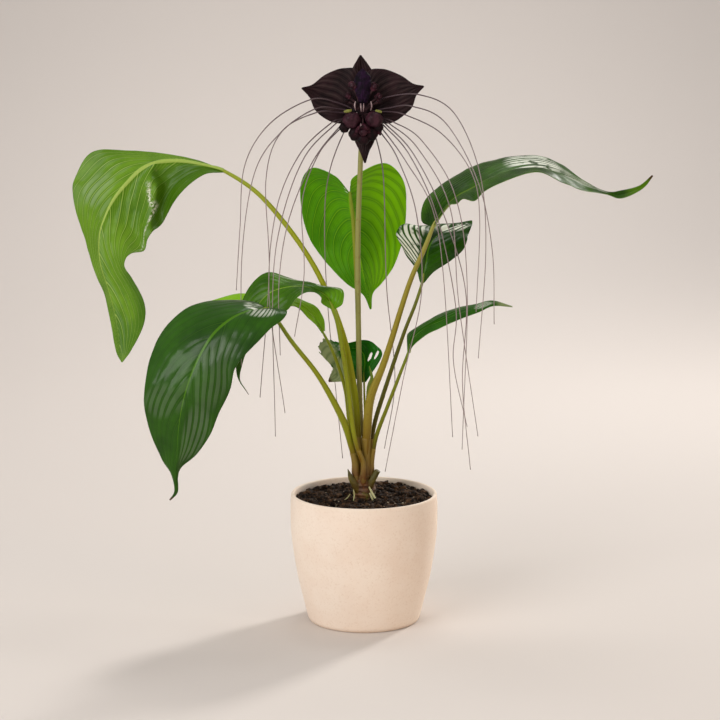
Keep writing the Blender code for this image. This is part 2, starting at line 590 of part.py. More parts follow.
def build():
    """Make every sub-part of the plant and its pot."""
    for old in list(bpy.data.objects):
        bpy.data.objects.remove(old)
    plant = bpy.data.collections.new("potted_bat_flower")
    bpy.context.scene.collection.children.link(plant)
    stalks = [plan[0]["stalk"] for plan in LEAVES.values()] + [SHOOT, SCAPE]
    finish(pot(), material("pot_ceramic", CREAM, 0.75), plant)
    finish(soil(), material("soil", SOIL_BROWN, 0.95), plant)
    finish(crown(stalks), material("crown", CROWN_BROWN, 0.7), plant)
    for name, (parts, columns, rows, wave, colour) in LEAVES.items():
        finish(leaf(name, parts, columns, rows, wave), material(name, colour, 0.35), plant)
    finish(tube("shoot", SHOOT, 2), material("shoot", LEAF_GREEN, 0.4), plant)
    finish(tube("scape", SCAPE, 3), material("scape", STALK_OLIVE, 0.45), plant)
    finish(bracts(), material("bracts", BRACT_MAROON, 0.5), plant)
    finish(florets(), material("florets", FLORET_PLUM, 0.4), plant)
    finish(whiskers(), material("whiskers", WHISKER_GREY, 0.5), plant)


build()
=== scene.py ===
"""Looks of the potted bat flower: its blades, stalks, bloom, soil and pot, each with its own finish.

Places are in millimetres in the plant's own frame, as in its solids, and become metres in the meshes.
Colours are red, green and blue from 0 to 255, as seen in daylight.
"""
import math
import random

import bmesh
import bpy
from mathutils import Matrix, Vector, noise


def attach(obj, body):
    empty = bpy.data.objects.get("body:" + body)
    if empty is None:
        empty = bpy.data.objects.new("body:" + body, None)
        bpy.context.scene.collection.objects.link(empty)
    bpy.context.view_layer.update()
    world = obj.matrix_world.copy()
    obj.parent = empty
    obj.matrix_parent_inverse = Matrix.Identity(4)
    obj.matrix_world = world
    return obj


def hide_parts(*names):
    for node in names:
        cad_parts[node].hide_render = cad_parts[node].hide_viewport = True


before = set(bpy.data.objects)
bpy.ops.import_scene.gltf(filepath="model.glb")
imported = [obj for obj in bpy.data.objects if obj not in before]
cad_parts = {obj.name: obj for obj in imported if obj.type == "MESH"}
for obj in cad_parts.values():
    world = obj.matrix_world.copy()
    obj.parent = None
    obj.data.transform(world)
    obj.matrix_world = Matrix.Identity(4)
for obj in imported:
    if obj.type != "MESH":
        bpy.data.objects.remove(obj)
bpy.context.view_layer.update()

MM = 0.001
TURN = 2 * math.pi
WELD = 0.000005
SKIN_RELIEF = 0.0006

# Camera: where it stands, how far it looks down, its lens and the width of its sensor
CAMERA_PLACE = (-0.0046, -2.5, 0.74)
CAMERA_DROP = math.atan(0.435 / 2.5)
CAMERA_LENS = 110.9
CAMERA_SENSOR = 36

# Stage, in metres: its half width, its length, how much of it lies in front, its flat part and its bend
STAGE_HALF_WIDTH = 5
STAGE_LENGTH = 10.5
STAGE_FRONT = 4.5
STAGE_FLAT = 1.6
STAGE_BEND = 1.8

# Light from all round, then the lamps: place, aim, size, power, colour and spread in degrees
SKY_COLOUR = (1.0, 0.98, 0.96, 1)
SKY_STRENGTH = 0.5
LAMPS = [("window", (2.1, 2.6, 1.65), (0.0, 0.0, 0.25), 0.5, 13, (1.0, 0.97, 0.93), 75),
         ("front_fill", (-2.0, -2.2, 1.5), (0.0, 0.0, 0.35), 1.9, 58, (1.0, 0.98, 0.96), 180),
         ("top", (0.1, 0.6, 2.3), (0.0, 0.0, 0.4), 0.7, 10, (1.0, 0.99, 0.97), 180),
         ("backdrop_wash", (0.0, 2.0, 2.7), (0.0, 2.2, 0.1), 1.6, 6, (1.0, 0.98, 0.96), 70),
         ("warm_bounce", (2.0, -1.3, 0.4), (0.0, 0.0, 0.1), 0.8, 0.9, (1.0, 0.68, 0.4), 60)]

# Pot
POT_SIDE = [(84.3, 146), (85, 134), (84.5, 106), (81.5, 80), (77, 53), (71, 27), (65.8, 6), (64.4, 2)]
LIP_MIDDLE = (82.2, 147.8)
LIP_REACH = (2.1, 2.2)
FOOT_EDGE = [(63.6, 0.7), (62, 0), (0, 0)]
WALL = 5
POT_FLOOR = 8
POT_STEPS = 144

# Soil
SOIL_TOP = 142
SOIL_RADIUS = 79
SOIL_SIDE = [(80, 110), (76.4, 80), (71.5, 52), (66, 28), (61, POT_FLOOR + 0.5), (0, POT_FLOOR + 0.5)]
SOIL_SWELLS = ((3.6, 26), (2.8, 9), (1.5, 3.5))
SOIL_LIFT = 1.2
SOIL_LIGHT = (106, 78, 56)
HOLE_RADIUS = 12.6
CLODS = 620
CLOD_SIZES = (1.2, 1.6, 2.1, 2.8, 3.8, 5.0)
GRIT = 170

# Crown: the rhizome's outline, the old sheaths with their grooves, and the pale roots at its foot
RHIZOME_RADIUS = 12
RHIZOME_FOOT = 116
RHIZOME = [(0, 178), (6, 177.5), (9.5, 173), (11.6, 166), (12.8, 156), (12.6, 148), (RHIZOME_RADIUS, 142),
           (RHIZOME_RADIUS, RHIZOME_FOOT), (0, RHIZOME_FOOT)]
OLD_SHEATHS = [
    ("crown_old_sheath", 0.45, 0.6,
     [(-5, -6, 150, 4.2), (-10, -9, 160, 4.4), (-15, -11, 170, 3.2), (-18.5, -12, 180, 0.4)]),
    ("crown_cut_sheath", 0.35, 2.6, [(5, -6, 154, 4), (9, -9, 165, 4), (15.5, -10.5, 178, 3.6)])]
ROOTS = [[(6, -12, 159, 0.9), (9, -15, 153, 1.2), (13, -18, 146.5, 1.1), (16.5, -21, 141, 0.6)],
         [(6.5, -13, 152, 0.7), (9, -16, 147, 0.9), (11.5, -19, 141.5, 0.5)],
         [(-12, -13, 156, 0.5), (-11, -15, 150, 0.8), (-12, -18, 144, 0.6)],
         [(-16, -9, 150, 0.5), (-19, -11, 146, 0.6), (-23, -12, 143, 0.4)]]

# Blades
BLADE_THICKNESS = 0.7
BLADE_ARCH = 0.1
BASE_HALF_WIDTH = 3
TIP_HALF_WIDTH = 1
EDGE_WAVES = 4
MIDRIB_THICKNESS = 2.6
MIDRIB_HOLLOW = 0.8
VEIN_CURVE = 1.35
FINE_VEINS = 5.0
# The crease on the tall left leaf: crumple height, painted glint colour and painted shade colour
CREASE_CRUMPLE_HEIGHT = 1.4
CREASE_GLINT_TONE = (226, 226, 206)
SHADE_TONE = (56, 92, 8)
# Colour of the painted highlight bars
HIGHLIGHT_TONE = (226, 230, 214)
DRY_TONE = (76, 56, 32)

# Leaves, as in the solids: stalk, ribs and tip. A rib is a place on the midrib, left edge and right edge
LEAVES = {
    "tall_left": {
        "stalk": [
            (-5, -1, 188, 3.6), (-7, -3, 225, 4.5), (-11, -3, 270, 4.8), (-26, 6, 340, 4),
            (-60, 26, 415, 3.3), (-115, 46, 485, 3), (-162, 57, 517, 2.2)],
        "ribs": [
            (-183, 60, 522, -194, 72, 528, -183, 50, 513), (-210, 65, 527, -228, 88, 533, -205, 50, 497),
            (-236, 68, 526, -276, 97, 536, -221, 56, 478), (-256, 68, 518, -318, 98, 535, -234, 60, 455),
            (-272, 67, 504, -338, 94, 506, -246, 58, 436), (-289, 65, 484, -340, 91, 485, -252, 48, 424),
            (-300, 62, 462, -334, 87, 457, -269, 34, 423), (-306, 58, 441, -327, 84, 433, -274, 26, 412),
            (-305, 52, 411, -316, 80, 401, -265, 18, 397), (-295, 44, 380, -304, 72, 373, -252, 14, 368),
            (-286, 37, 346, -296, 58, 342, -253, 16, 342), (-282, 31, 314, -288, 40, 310, -268, 22, 313)],
        "tip": (-280, 26, 298)},
    "low_left": {
        "stalk": [
            (-10, -7, 187, 3.4), (-14, -9, 206, 4.1), (-24, -20, 240, 4.4), (-50, -40, 292, 3.2),
            (-80, -56, 335, 2.8), (-104, -62, 371, 2)],
        "ribs": [
            (-114, -67, 374, -86, -76, 373, -124, -46, 379), (-129, -76, 373, -88, -88, 367, -153, -40, 381),
            (-148, -85, 365, -104, -98, 357, -180, -44, 378),
            (-165, -92, 351, -124, -104, 335, -202, -52, 369),
            (-176, -97, 335, -141, -104, 313, -224, -62, 351),
            (-185, -100, 318, -148, -102, 289, -236, -74, 325),
            (-193, -102, 298, -160, -98, 263, -242, -84, 294),
            (-200, -101, 274, -170, -93, 238, -244, -88, 269),
            (-205, -98, 246, -187, -89, 213, -239, -86, 242),
            (-208, -94, 214, -203, -87, 199, -226, -84, 210),
            (-210, -89, 190, -207, -87, 188, -216, -86, 192),
            (-210, -86, 171, -208, -85, 170, -212, -85, 172)],
        "tip": (-217, -86, 161)},
    "back": {
        "stalk": [
            (-5, 12, 188, 2.5), (-5, 28, 228, 2.8), (-6, 48, 290, 2.8), (-8, 68, 376, 2.7),
            (-12, 80, 450, 2.5), (-16, 84, 487, 2)],
        "ribs": [
            (-16, 87, 483, -34, 74, 509, -12, 74, 508), (-15, 92, 472, -61, 88, 518, 23, 88, 523),
            (-13, 97, 460, -74, 99, 497, 46, 101, 502), (-10, 102, 444, -73, 111, 462, 50, 112, 470),
            (-8, 105, 426, -64, 118, 430, 47, 118, 433), (-4, 106, 407, -47, 118, 405, 36, 116, 399),
            (0, 106, 386, -21, 112, 378, 22, 111, 379), (4, 104, 369, -1, 106, 365, 11, 105, 367)],
        "tip": (8, 99, 349)},
    "tall_right": {
        "stalk": [
            (2.5, -6, 189, 3.8), (3, -11, 225, 5.5), (7, -14, 264, 5.5), (24, -18, 310, 4.1),
            (50, -26, 395, 3.2), (67, -30, 436, 2.9), (77, -31, 462, 2.2)],
        "ribs": [
            (82, -30, 471, 65, -10, 466, 86, -38, 476), (91, -27, 483, 68, 4, 486, 95, -48, 489),
            (104, -24, 495, 84, 16, 503, 109, -56, 493), (121, -20, 504, 107, 26, 515, 125, -60, 496),
            (141, -15, 515, 136, 32, 527, 140, -60, 511), (168, -10, 524, 164, 34, 536, 167, -54, 519),
            (198, -6, 525, 194, 32, 536, 195, -46, 522), (224, -3, 517, 222, 24, 527, 218, -36, 514),
            (251, 0, 505, 248, 12, 511, 245, -20, 502), (275, 3, 496, 274, 6, 498, 274, -1, 494),
            (292, 6, 494, 293, 12, 498, 290, -3, 491), (314, 9, 502, 312, 10, 504, 315, 5, 501)],
        "tip": (327, 11, 515)},
    "mid_right": {
        "stalk": [
            (7.5, 1.5, 188, 2.4), (11, 6, 225, 2.8), (22, 15, 262, 2.8), (45, 33, 328, 2.4),
            (59, 40, 363, 2.2), (67, 42, 388, 1.8)],
        "ribs": [
            (69, 44, 399, 60, 46, 404, 81, 48, 400), (72, 48, 413, 47, 40, 423, 100, 54, 412),
            (75, 56, 427, 38, 38, 442, 115, 66, 423), (82, 68, 437, 43, 50, 454, 121, 80, 436),
            (95, 84, 445, 64, 76, 452, 125, 94, 444), (111, 98, 449, 97, 98, 450, 128, 104, 449)],
        "tip": (127, 110, 453)},
    "low_right": {
        "stalk": [
            (9, -5, 188, 2.3), (14, -9, 218, 2.6), (26, -14, 252, 2.4), (40, -18, 290, 2.1),
            (50, -20, 317, 1.7)],
        "ribs": [
            (52, -21, 327, 49, -8, 330, 56, -32, 328), (56, -23, 335, 50, 2, 336, 64, -39, 336),
            (68, -27, 346, 62, 6, 343, 75, -41, 344), (88, -31, 356, 84, 2, 357, 92, -41, 352),
            (109, -35, 365, 108, -8, 367, 112, -43, 361), (128, -38, 371, 128, -18, 373, 131, -43, 368),
            (144, -40, 376, 145, -30, 378, 145, -43, 374)],
        "tip": (166, -42, 373)},
    "mid_left": {
        "stalk": [
            (-1, -13.5, 187, 2.4), (-9, -18, 212, 2.8), (-14, -18, 240, 3), (-20, -14, 290, 2.9),
            (-29, -10, 345, 2.7), (-35, -10, 366, 2.2)],
        "ribs": [
            (-39, -10, 375, -48, -16, 373, -24, -14, 373), (-45, -11, 382, -48, -22, 381, -25, -6, 388),
            (-55, -12, 388, -57, -18, 386, -50, -6, 391), (-70, -12, 392, -73, -34, 383, -63, 8, 395),
            (-88, -12, 391, -86, -33, 370, -85, 10, 398), (-107, -10, 384, -104, -24, 357, -110, 10, 404),
            (-122, -8, 367, -119, -16, 340, -131, 6, 390), (-133, -5, 339, -132, -10, 322, -143, 2, 360),
            (-141, -2, 308, -138, -4, 303, -146, 0, 314), (-144, 0, 285, -142, -1, 282, -146, 1, 289)],
        "tip": (-133, 3, 265)},
    "small_left": {
        "stalk": [
            (-11, 5, 188, 2), (-17, 7, 230, 2.2), (-22, 6, 272, 2.2), (-35, 7, 312, 2.1), (-47, 8, 336, 1.5)],
        "ribs": [
            (-53, 9, 346, -55, 4, 345, -46, 14, 351), (-61, 11, 357, -65, 2, 355, -54, 20, 362),
            (-75, 15, 366, -81, 4, 367, -68, 26, 370), (-106, 21, 371, -110, 8, 366, -102, 34, 376),
            (-138, 27, 372, -141, 12, 366, -140, 40, 376), (-164, 31, 367, -165, 20, 363, -166, 42, 371)],
        "tip": (-184, 35, 365)},
    "young": {
        "stalk": [
            (3, 13, 188, 1.6), (1, 17, 235, 1.5), (0, 18, 276, 1.2)],
        "ribs": [
            (0, 20, 287, -14, 26, 282, 10, 14, 289), (1, 24, 298, -21, 30, 290, 21, 16, 309),
            (-1, 28, 308, -22, 32, 299, 14, 20, 319), (-10, 32, 313, -22, 34, 305, 0, 24, 324),
            (-23, 36, 311, -23, 34, 301, -25, 34, 319), (-33, 38, 303, -24, 32, 290, -49, 40, 325),
            (-33, 39, 291, -23, 30, 281, -53, 42, 309), (-31, 38, 281, -24, 30, 275, -38, 40, 293)],
        "tip": (-41, 37, 273)}}
SHOOT = [(8, 9, 188, 1.7), (4, 10, 235, 2), (6, 8, 270, 3), (9, 6, 283, 2), (6, 6, 297, 0.5)]

# Leaf faces: ground, dark and vein
SATIN = ((100, 140, 28), (62, 104, 8), (158, 180, 84))
SHADED = ((66, 104, 12), (42, 78, 4), (112, 138, 48))
GLASSY = ((84, 148, 0), (48, 108, 0), (120, 172, 24))
DEEP = ((46, 88, 0), (22, 52, 0), (72, 116, 12))
DUSKY = ((56, 96, 2), (24, 52, 0), (98, 124, 40))
PLAIN = ((46, 98, 0), (28, 70, 0), (84, 130, 16))
MIXED = ((70, 114, 4), (34, 72, 0), (124, 156, 50))
LIGHT = ((142, 192, 36), (110, 164, 16), (184, 208, 100))
GREYED = ((30, 108, 0), (12, 68, 0), (88, 150, 30))
UNDER = ((104, 134, 58), (78, 110, 36), (150, 166, 100))

# Blades: upper and under tones, side veins and their sweep, edge wave, gloss, columns and rows
BLADES = {
    "tall_left": (SHADED, SATIN, 12, 0.46, 1.5, 0.25, 52, 260),
    "low_left": (DEEP, UNDER, 12, 0.42, 2.5, 0.26, 52, 260),
    "back": (DEEP, GLASSY, 11, 0.5, 2.0, 0.1, 52, 220),
    "tall_right": (DUSKY, UNDER, 6, 1.6, 1.5, 0.08, 44, 260),
    "mid_right": (DEEP, UNDER, 9, 0.36, 2.0, 0.15, 40, 180),
    "low_right": (PLAIN, UNDER, 5, 1.2, 0.5, 0.25, 26, 160),
    "mid_left": (MIXED, UNDER, 10, 0.4, 2.0, 0.15, 36, 180),
    "small_left": (LIGHT, UNDER, 5, 0.9, 1.0, 0.2, 26, 140),
    "young": (GREYED, UNDER, 8, 0.4, 2.0, 0.03, 40, 160)}

# Stalks: foot, middle and head
STALK_TONES = {
    "tall_left": ((116, 92, 14), (144, 148, 10), (140, 156, 50)),
    "tall_right": ((112, 84, 20), (140, 126, 42), (158, 158, 80)),
    "mid_right": ((78, 62, 10), (86, 86, 12), (128, 140, 56)),
    "low_right": ((84, 66, 10), (112, 118, 24), (112, 132, 44)),
    "other": ((114, 80, 20), (132, 138, 26), (118, 142, 40))}

# Painted highlights on an upper face, as pale bars: place along and across, length and width, strength, bars
# to a vein
HIGHLIGHT_BARS = {
    "low_left": [(0.1, 0.2, 0.05, 0.4, 0.9, 2.0), (0.15, -0.4, 0.05, 0.4, 0.5, 2.0),
                 (0.45, -0.5, 0.17, 0.5, 0.05, 1.0), (0.66, -0.6, 0.13, 0.45, 0.07, 1.0),
                 (0.6, 0.55, 0.07, 0.5, 0.05, 1.0), (0.56, 0.08, 0.1, 0.2, 0.04, 1.0)],
    "tall_right": [(0.53, -0.4, 0.1, 0.65, 1.0, 0.8), (0.67, -0.1, 0.12, 0.5, 0.6, 2.0)],
    "mid_right": [(0.44, -0.66, 0.3, 0.42, 1.0, 1.5), (0.78, 0.2, 0.14, 0.8, 1.0, 1.0)],
    "low_right": [(0.8, 0.0, 0.09, 0.7, 0.6, 3.0)],
    "mid_left": [(0.34, 0.88, 0.2, 0.12, 0.7, 2.0)],
    "young": [(0.57, 0.4, 0.06, 0.5, 0.9, 4.0)]}

# The same painted highlights on an under face
BACK_HIGHLIGHT_BARS = {
    "back": [(0.085, -0.3, 0.05, 0.16, 0.9, 0.5)],
    "tall_left": [(0.43, -0.5, 0.08, 0.35, 0.1, 1.0), (0.5, -0.15, 0.06, 0.15, 0.08, 1.0)]}

# Zones of another colour along a leaf: from, to, amount at each, and the colour
ZONES = {
    "young": (0.6, 0.64, 0.0, 0.92, (164, 174, 126)),
    "mid_left": (0.16, 0.24, 0.85, 0.0, (92, 144, 12)),
    "tall_right": (0.84, 0.9, 0.0, 0.85, (88, 128, 14)),
    "low_right": (0.88, 0.94, 0.0, 0.7, (156, 164, 116))}

# Painted glow on the half of an under face that the light shines through: from, to, amount and colour
PAINTED_GLOW = {"back": (-0.1, 0.7, 0.8, (124, 190, 0))}

# Leaves whose tips have dried, and how far a leaf swells between its veins where it isn't the usual
DRY_TIPS = ("low_left", "tall_right", "mid_left", "young")
QUILTS = {"back": 1.0, "tall_left": 0.9, "low_left": 0.4}

# Slots worn through the young leaf: place along and across, length and width, and how they slant
SLOTS = [(0.25, 0.35, 0.032, 0.1), (0.235, 0.72, 0.028, 0.07)]
SLOT_SLANT = 4

# Bloom, as in the solids
BLOOM_X = -2
BLOOM_Z = 586
RECEPTACLE_RADIUS = 9
RECEPTACLE = ((BLOOM_X, 6.2, BLOOM_Z), (8.6, 4.8, 8.6))
FLORET_HUB = (BLOOM_X, -6.6, BLOOM_Z)
# A near-black core between the hood and the buds: partly dark florets, partly painted shade in the gap
FLORET_CORE_AND_SHADE = ((BLOOM_X, -6.7, BLOOM_Z + 4), (12, 3, 14))
SCAPE = [(0, 5.5, 187, 2.9), (-4, 7, 235, 3.1), (-6, 7, 320, 3.1), (-7, 9, 440, 3), (-4, 8, 533, 2.9),
         (BLOOM_X, 6, BLOOM_Z - RECEPTACLE_RADIUS, 3)]
BRACTS = {
    "bract_left_wing": {
        "base": (-5, 7, 587),
        "ribs": [
            (-18, 7, 593, -19, 4.5, 575, -5, 14, 630), (-34, 8, 601, -36, 3, 576, -22, 15, 636),
            (-50, 7, 608, -54, 3, 588, -43, 12, 629), (-62, 5, 612, -61, 3, 603, -58, 7, 618)],
        "tip": (-70, 2, 614)},
    "bract_right_wing": {
        "base": (1, 7, 587),
        "ribs": [
            (15, 7, 593, 2, 14, 629, 16, 4.5, 575), (31, 8, 601, 20, 16, 635, 33, 3, 576),
            (47, 7, 609, 41, 13, 628, 52, 3, 590), (58, 5, 614, 55, 7, 619, 59, 3, 606)],
        "tip": (67, 2, 616)},
    "bract_upper": {
        "base": (-2, 9, 590),
        "ribs": [
            (-2, 20, 607, -17, 18, 607, 13, 18, 607), (-2, 24, 622, -20, 20, 622, 16, 20, 621),
            (-3, 24, 635, -13, 20, 636, 8, 20, 635)],
        "tip": (-4, 21, 650)},
    "bract_lower": {
        "base": (-2, 3, 580),
        "ribs": [
            (-1, -1, 571, 10, 0, 571, -11, 0, 571), (0, -7, 556, 12, -4, 557, -11, -4, 557),
            (1, -9, 544, 6, -8, 544, -5, -8, 544)],
        "tip": (1, -8, 531)}}
WHISKER_HUB_Y = -1.4
WHISKER_RADIUS = 0.84
WHISKERS = [
    [(-30, -2, 598), (-60, -14, 602), (-105, -26, 576), (-133, -28, 530), (-139, -28, 460), (-144, -25, 389)],
    [(-28, -2, 591), (-54, -13, 592), (-92, -24, 567), (-122, -27, 522), (-137, -26, 430), (-139, -26, 303)],
    [(-28, -1, 587), (-53, -17, 588), (-92, -30, 567), (-109, -40, 515), (-106, -46, 410), (-117, -50, 271)],
    [(-24, -1, 580), (-38, -10, 575), (-72, -28, 542), (-98, -40, 480), (-106, -47, 385), (-89, -50, 253)],
    [(-22, -1, 579), (-34, -10, 573), (-67, -28, 538), (-92, -43, 470), (-102, -48, 390), (-100, -50, 226)],
    [(-19, -1, 577), (-28, -8, 571), (-58, -30, 533), (-84, -42, 470), (-95, -48, 400), (-94, -50, 319)],
    [(-17, -1, 575), (-27, -8, 569), (-51, -30, 542), (-69, -40, 490), (-67, -44, 410), (-78, -42, 339)],
    [(-14, 0, 573), (-23, 0, 564), (-39, 8, 520), (-45, 28, 466), (-42, 50, 360), (-25, 50, 179)],
    [(22, -2, 603), (62, -26, 608), (100, -44, 588), (127, -68, 524), (134, -72, 440), (127, -70, 319)],
    [(27, -2, 592), (53, -18, 595), (90, -43, 578), (125, -66, 515), (141, -74, 440), (144, -74, 358)],
    [(25, -1, 588), (47, -18, 585), (86, -42, 566), (118, -62, 525), (127, -70, 475), (124, -70, 371)],
    [(20, -1, 581), (33, -12, 577), (64, -36, 558), (100, -62, 500), (114, -68, 400), (110, -64, 214)],
    [(19, -1, 579), (30, -12, 574), (60, -36, 549), (95, -61, 485), (105, -66, 380), (128, -58, 228)],
    [(18, -1, 577), (27, -11, 572), (55, -36, 543), (88, -60, 478), (113, -61, 390), (110, -59, 290),
     (120, -55, 189)],
    [(16, -1, 576), (25, -9, 570), (51, -32, 541), (80, -56, 478), (102, -57, 375), (100, -55, 312),
     (116, -53, 238)],
    [(14, -1, 574), (23, -7, 566), (47, -34, 534), (76, -52, 483), (89, -53, 400), (100, -48, 225)],
    [(12, -2, 572), (21, -7, 562), (38, -24, 536), (58, -42, 478), (64, -49, 390), (45, -46, 296),
     (24, -34, 182)],
    [(6, -1.5, 575), (12, -5.5, 563), (20, -4, 530), (23, 2, 489), (26, 18, 385), (36, 36, 275),
     (24, 30, 195)]]

# Florets: buds with their radii, the first of them plum; open ones with their radius and the way they face
BUD_RIBS = 6
PLUM_BUDS = 2
BUDS = [((-14, -14.5, 579), (9.6, 9, 9)), ((11.5, -14.5, 580), (9.2, 9, 9)),
        ((-22, -13, 571), (5.6, 5.6, 5.6)), ((15.5, -13, 571), (5.6, 5.8, 5.8)),
        ((-10, -15, 564), (7, 6.5, 7.5)), ((8, -15, 564), (7, 6.5, 7.5)), ((-1, -17.5, 558), (7, 6, 6)),
        ((-20, -9, 601), (3.4, 3.4, 3.4)), ((18, -9, 600), (3.4, 3.4, 3.4))]
HOOD = {
    "base": (-1, -9, 594),
    "ribs": [
        (-1, -13, 601, -7, -11, 602, 5, -11, 602), (-1.5, -15, 611, -10, -11, 612, 7, -11, 612),
        (-2, -14, 621, -11, -9, 622, 8, -9, 622), (-2, -11, 629, -9, -7, 629, 6, -7, 629)],
    "tip": (-2, -8, 636)}
OPEN_FLORETS = [((-1, -20, 568), 12, (0, -0.75, -0.66)), ((-13, -9, 617), 7, (-0.3, -0.9, 0.2)),
                ((11, -9, 616), 7, (0.3, -0.9, 0.2)), ((-18, -10, 606), 6, (-0.7, -0.7, 0)),
                ((16, -10, 605), 6, (0.7, -0.7, 0)), ((-12, -16, 564), 7, (-0.6, -0.6, -0.5)),
                ((10, -16, 564), 7, (0.6, -0.6, -0.5)), ((17, -14, 566), 5, (0.9, -0.4, 0.1))]
STAMENS = [[(-9.5, -13, 600, 0.8), (-10.5, -15.5, 596, 1.1), (-9.5, -14.5, 590, 0.6)],
           [(-3.8, -17.5, 598, 0.8), (-3.6, -18.5, 594, 1), (-3.2, -17, 589, 0.5)],
           [(-0.6, -17.5, 598, 0.8), (-0.6, -18.5, 594, 1), (-1, -17, 589, 0.5)],
           [(7.6, -13, 600, 0.8), (8.4, -15.5, 595, 1.1), (7.4, -14.5, 590, 0.6)],
           [(-8, -16, 588, 0.5), (-9, -18, 585, 0.7), (-10, -19, 583, 0.4)],
           [(-4, -20, 576, 0.5), (-3.5, -23, 574, 0.8), (-4.5, -25, 571, 0.4)]]
GREEN_BITS = [[(-14, -15, 590.5, 1.2), (-18, -16.5, 589.5, 2), (-22.5, -16, 589, 1)],
              [(13, -15, 590, 1.2), (16, -16.5, 589, 2), (19.5, -16, 588.5, 1.2)]]


def on_curve(points, spot):
    """The point at a place from 0 to 1 on a smooth curve through these points."""
    spans = len(points) - 1
    place = min(max(spot, 0), 1) * spans
    span = min(int(place), spans - 1)
    t = place - span
    p1 = Vector(points[span])
    p2 = Vector(points[span + 1])
    p0 = Vector(points[span - 1]) if span > 0 else 2 * p1 - p2
    p3 = Vector(points[span + 2]) if span + 2 <= spans else 2 * p2 - p1
    bend = 2 * p0 - 5 * p1 + 4 * p2 - p3
    twist = 3 * p1 - p0 - 3 * p2 + p3
    return 0.5 * (2 * p1 + (p2 - p0) * t + bend * t * t + twist * t ** 3)


def hump(value, middle, reach):
    """A smooth hump: 1 at the middle, falling to nearly 0 past its reach."""
    return math.exp(-((value - middle) / reach) ** 2)


def scaled(spot, by):
    """A place stretched along each axis."""
    return Vector([value * factor for value, factor in zip(spot, by)])


# Piece making
def to_piece(name, shape, *looks):
    """Put a bmesh in the scene as a smooth piece."""
    mesh = bpy.data.meshes.new(name)
    shape.to_mesh(mesh)
    shape.free()
    mesh.shade_smooth()
    for look in looks:
        mesh.materials.append(look)
    piece = bpy.data.objects.new(name, mesh)
    bpy.context.scene.collection.objects.link(piece)
    return piece


def place_piece(piece, slot, *nodes):
    """Seat a piece on the plant, hiding these nodes if it stands for any. The slot is not used."""
    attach(piece, "root")
    if nodes:
        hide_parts(*nodes)


def grid(across, along):
    """A flat sheet with a UV map, from -1 to 1 both ways."""
    shape = bmesh.new()
    shape.loops.layers.uv.new("UVMap")
    bmesh.ops.create_grid(shape, x_segments=across, y_segments=along, size=1, calc_uvs=True)
    return shape


def lump_ball(name, centre, radii, look, bumps, pitch, around=28, rings=18):
    """A round lump with a bumpy skin: how high its bumps are and how close together."""
    shape = bmesh.new()
    bmesh.ops.create_uvsphere(shape, u_segments=around, v_segments=rings, radius=MM)
    for vert in shape.verts:
        knob = 1 + bumps * noise.noise(vert.co / MM * pitch)
        vert.co = Vector(centre) * MM + scaled(vert.co, radii) * knob
    return to_piece(name, shape, look)


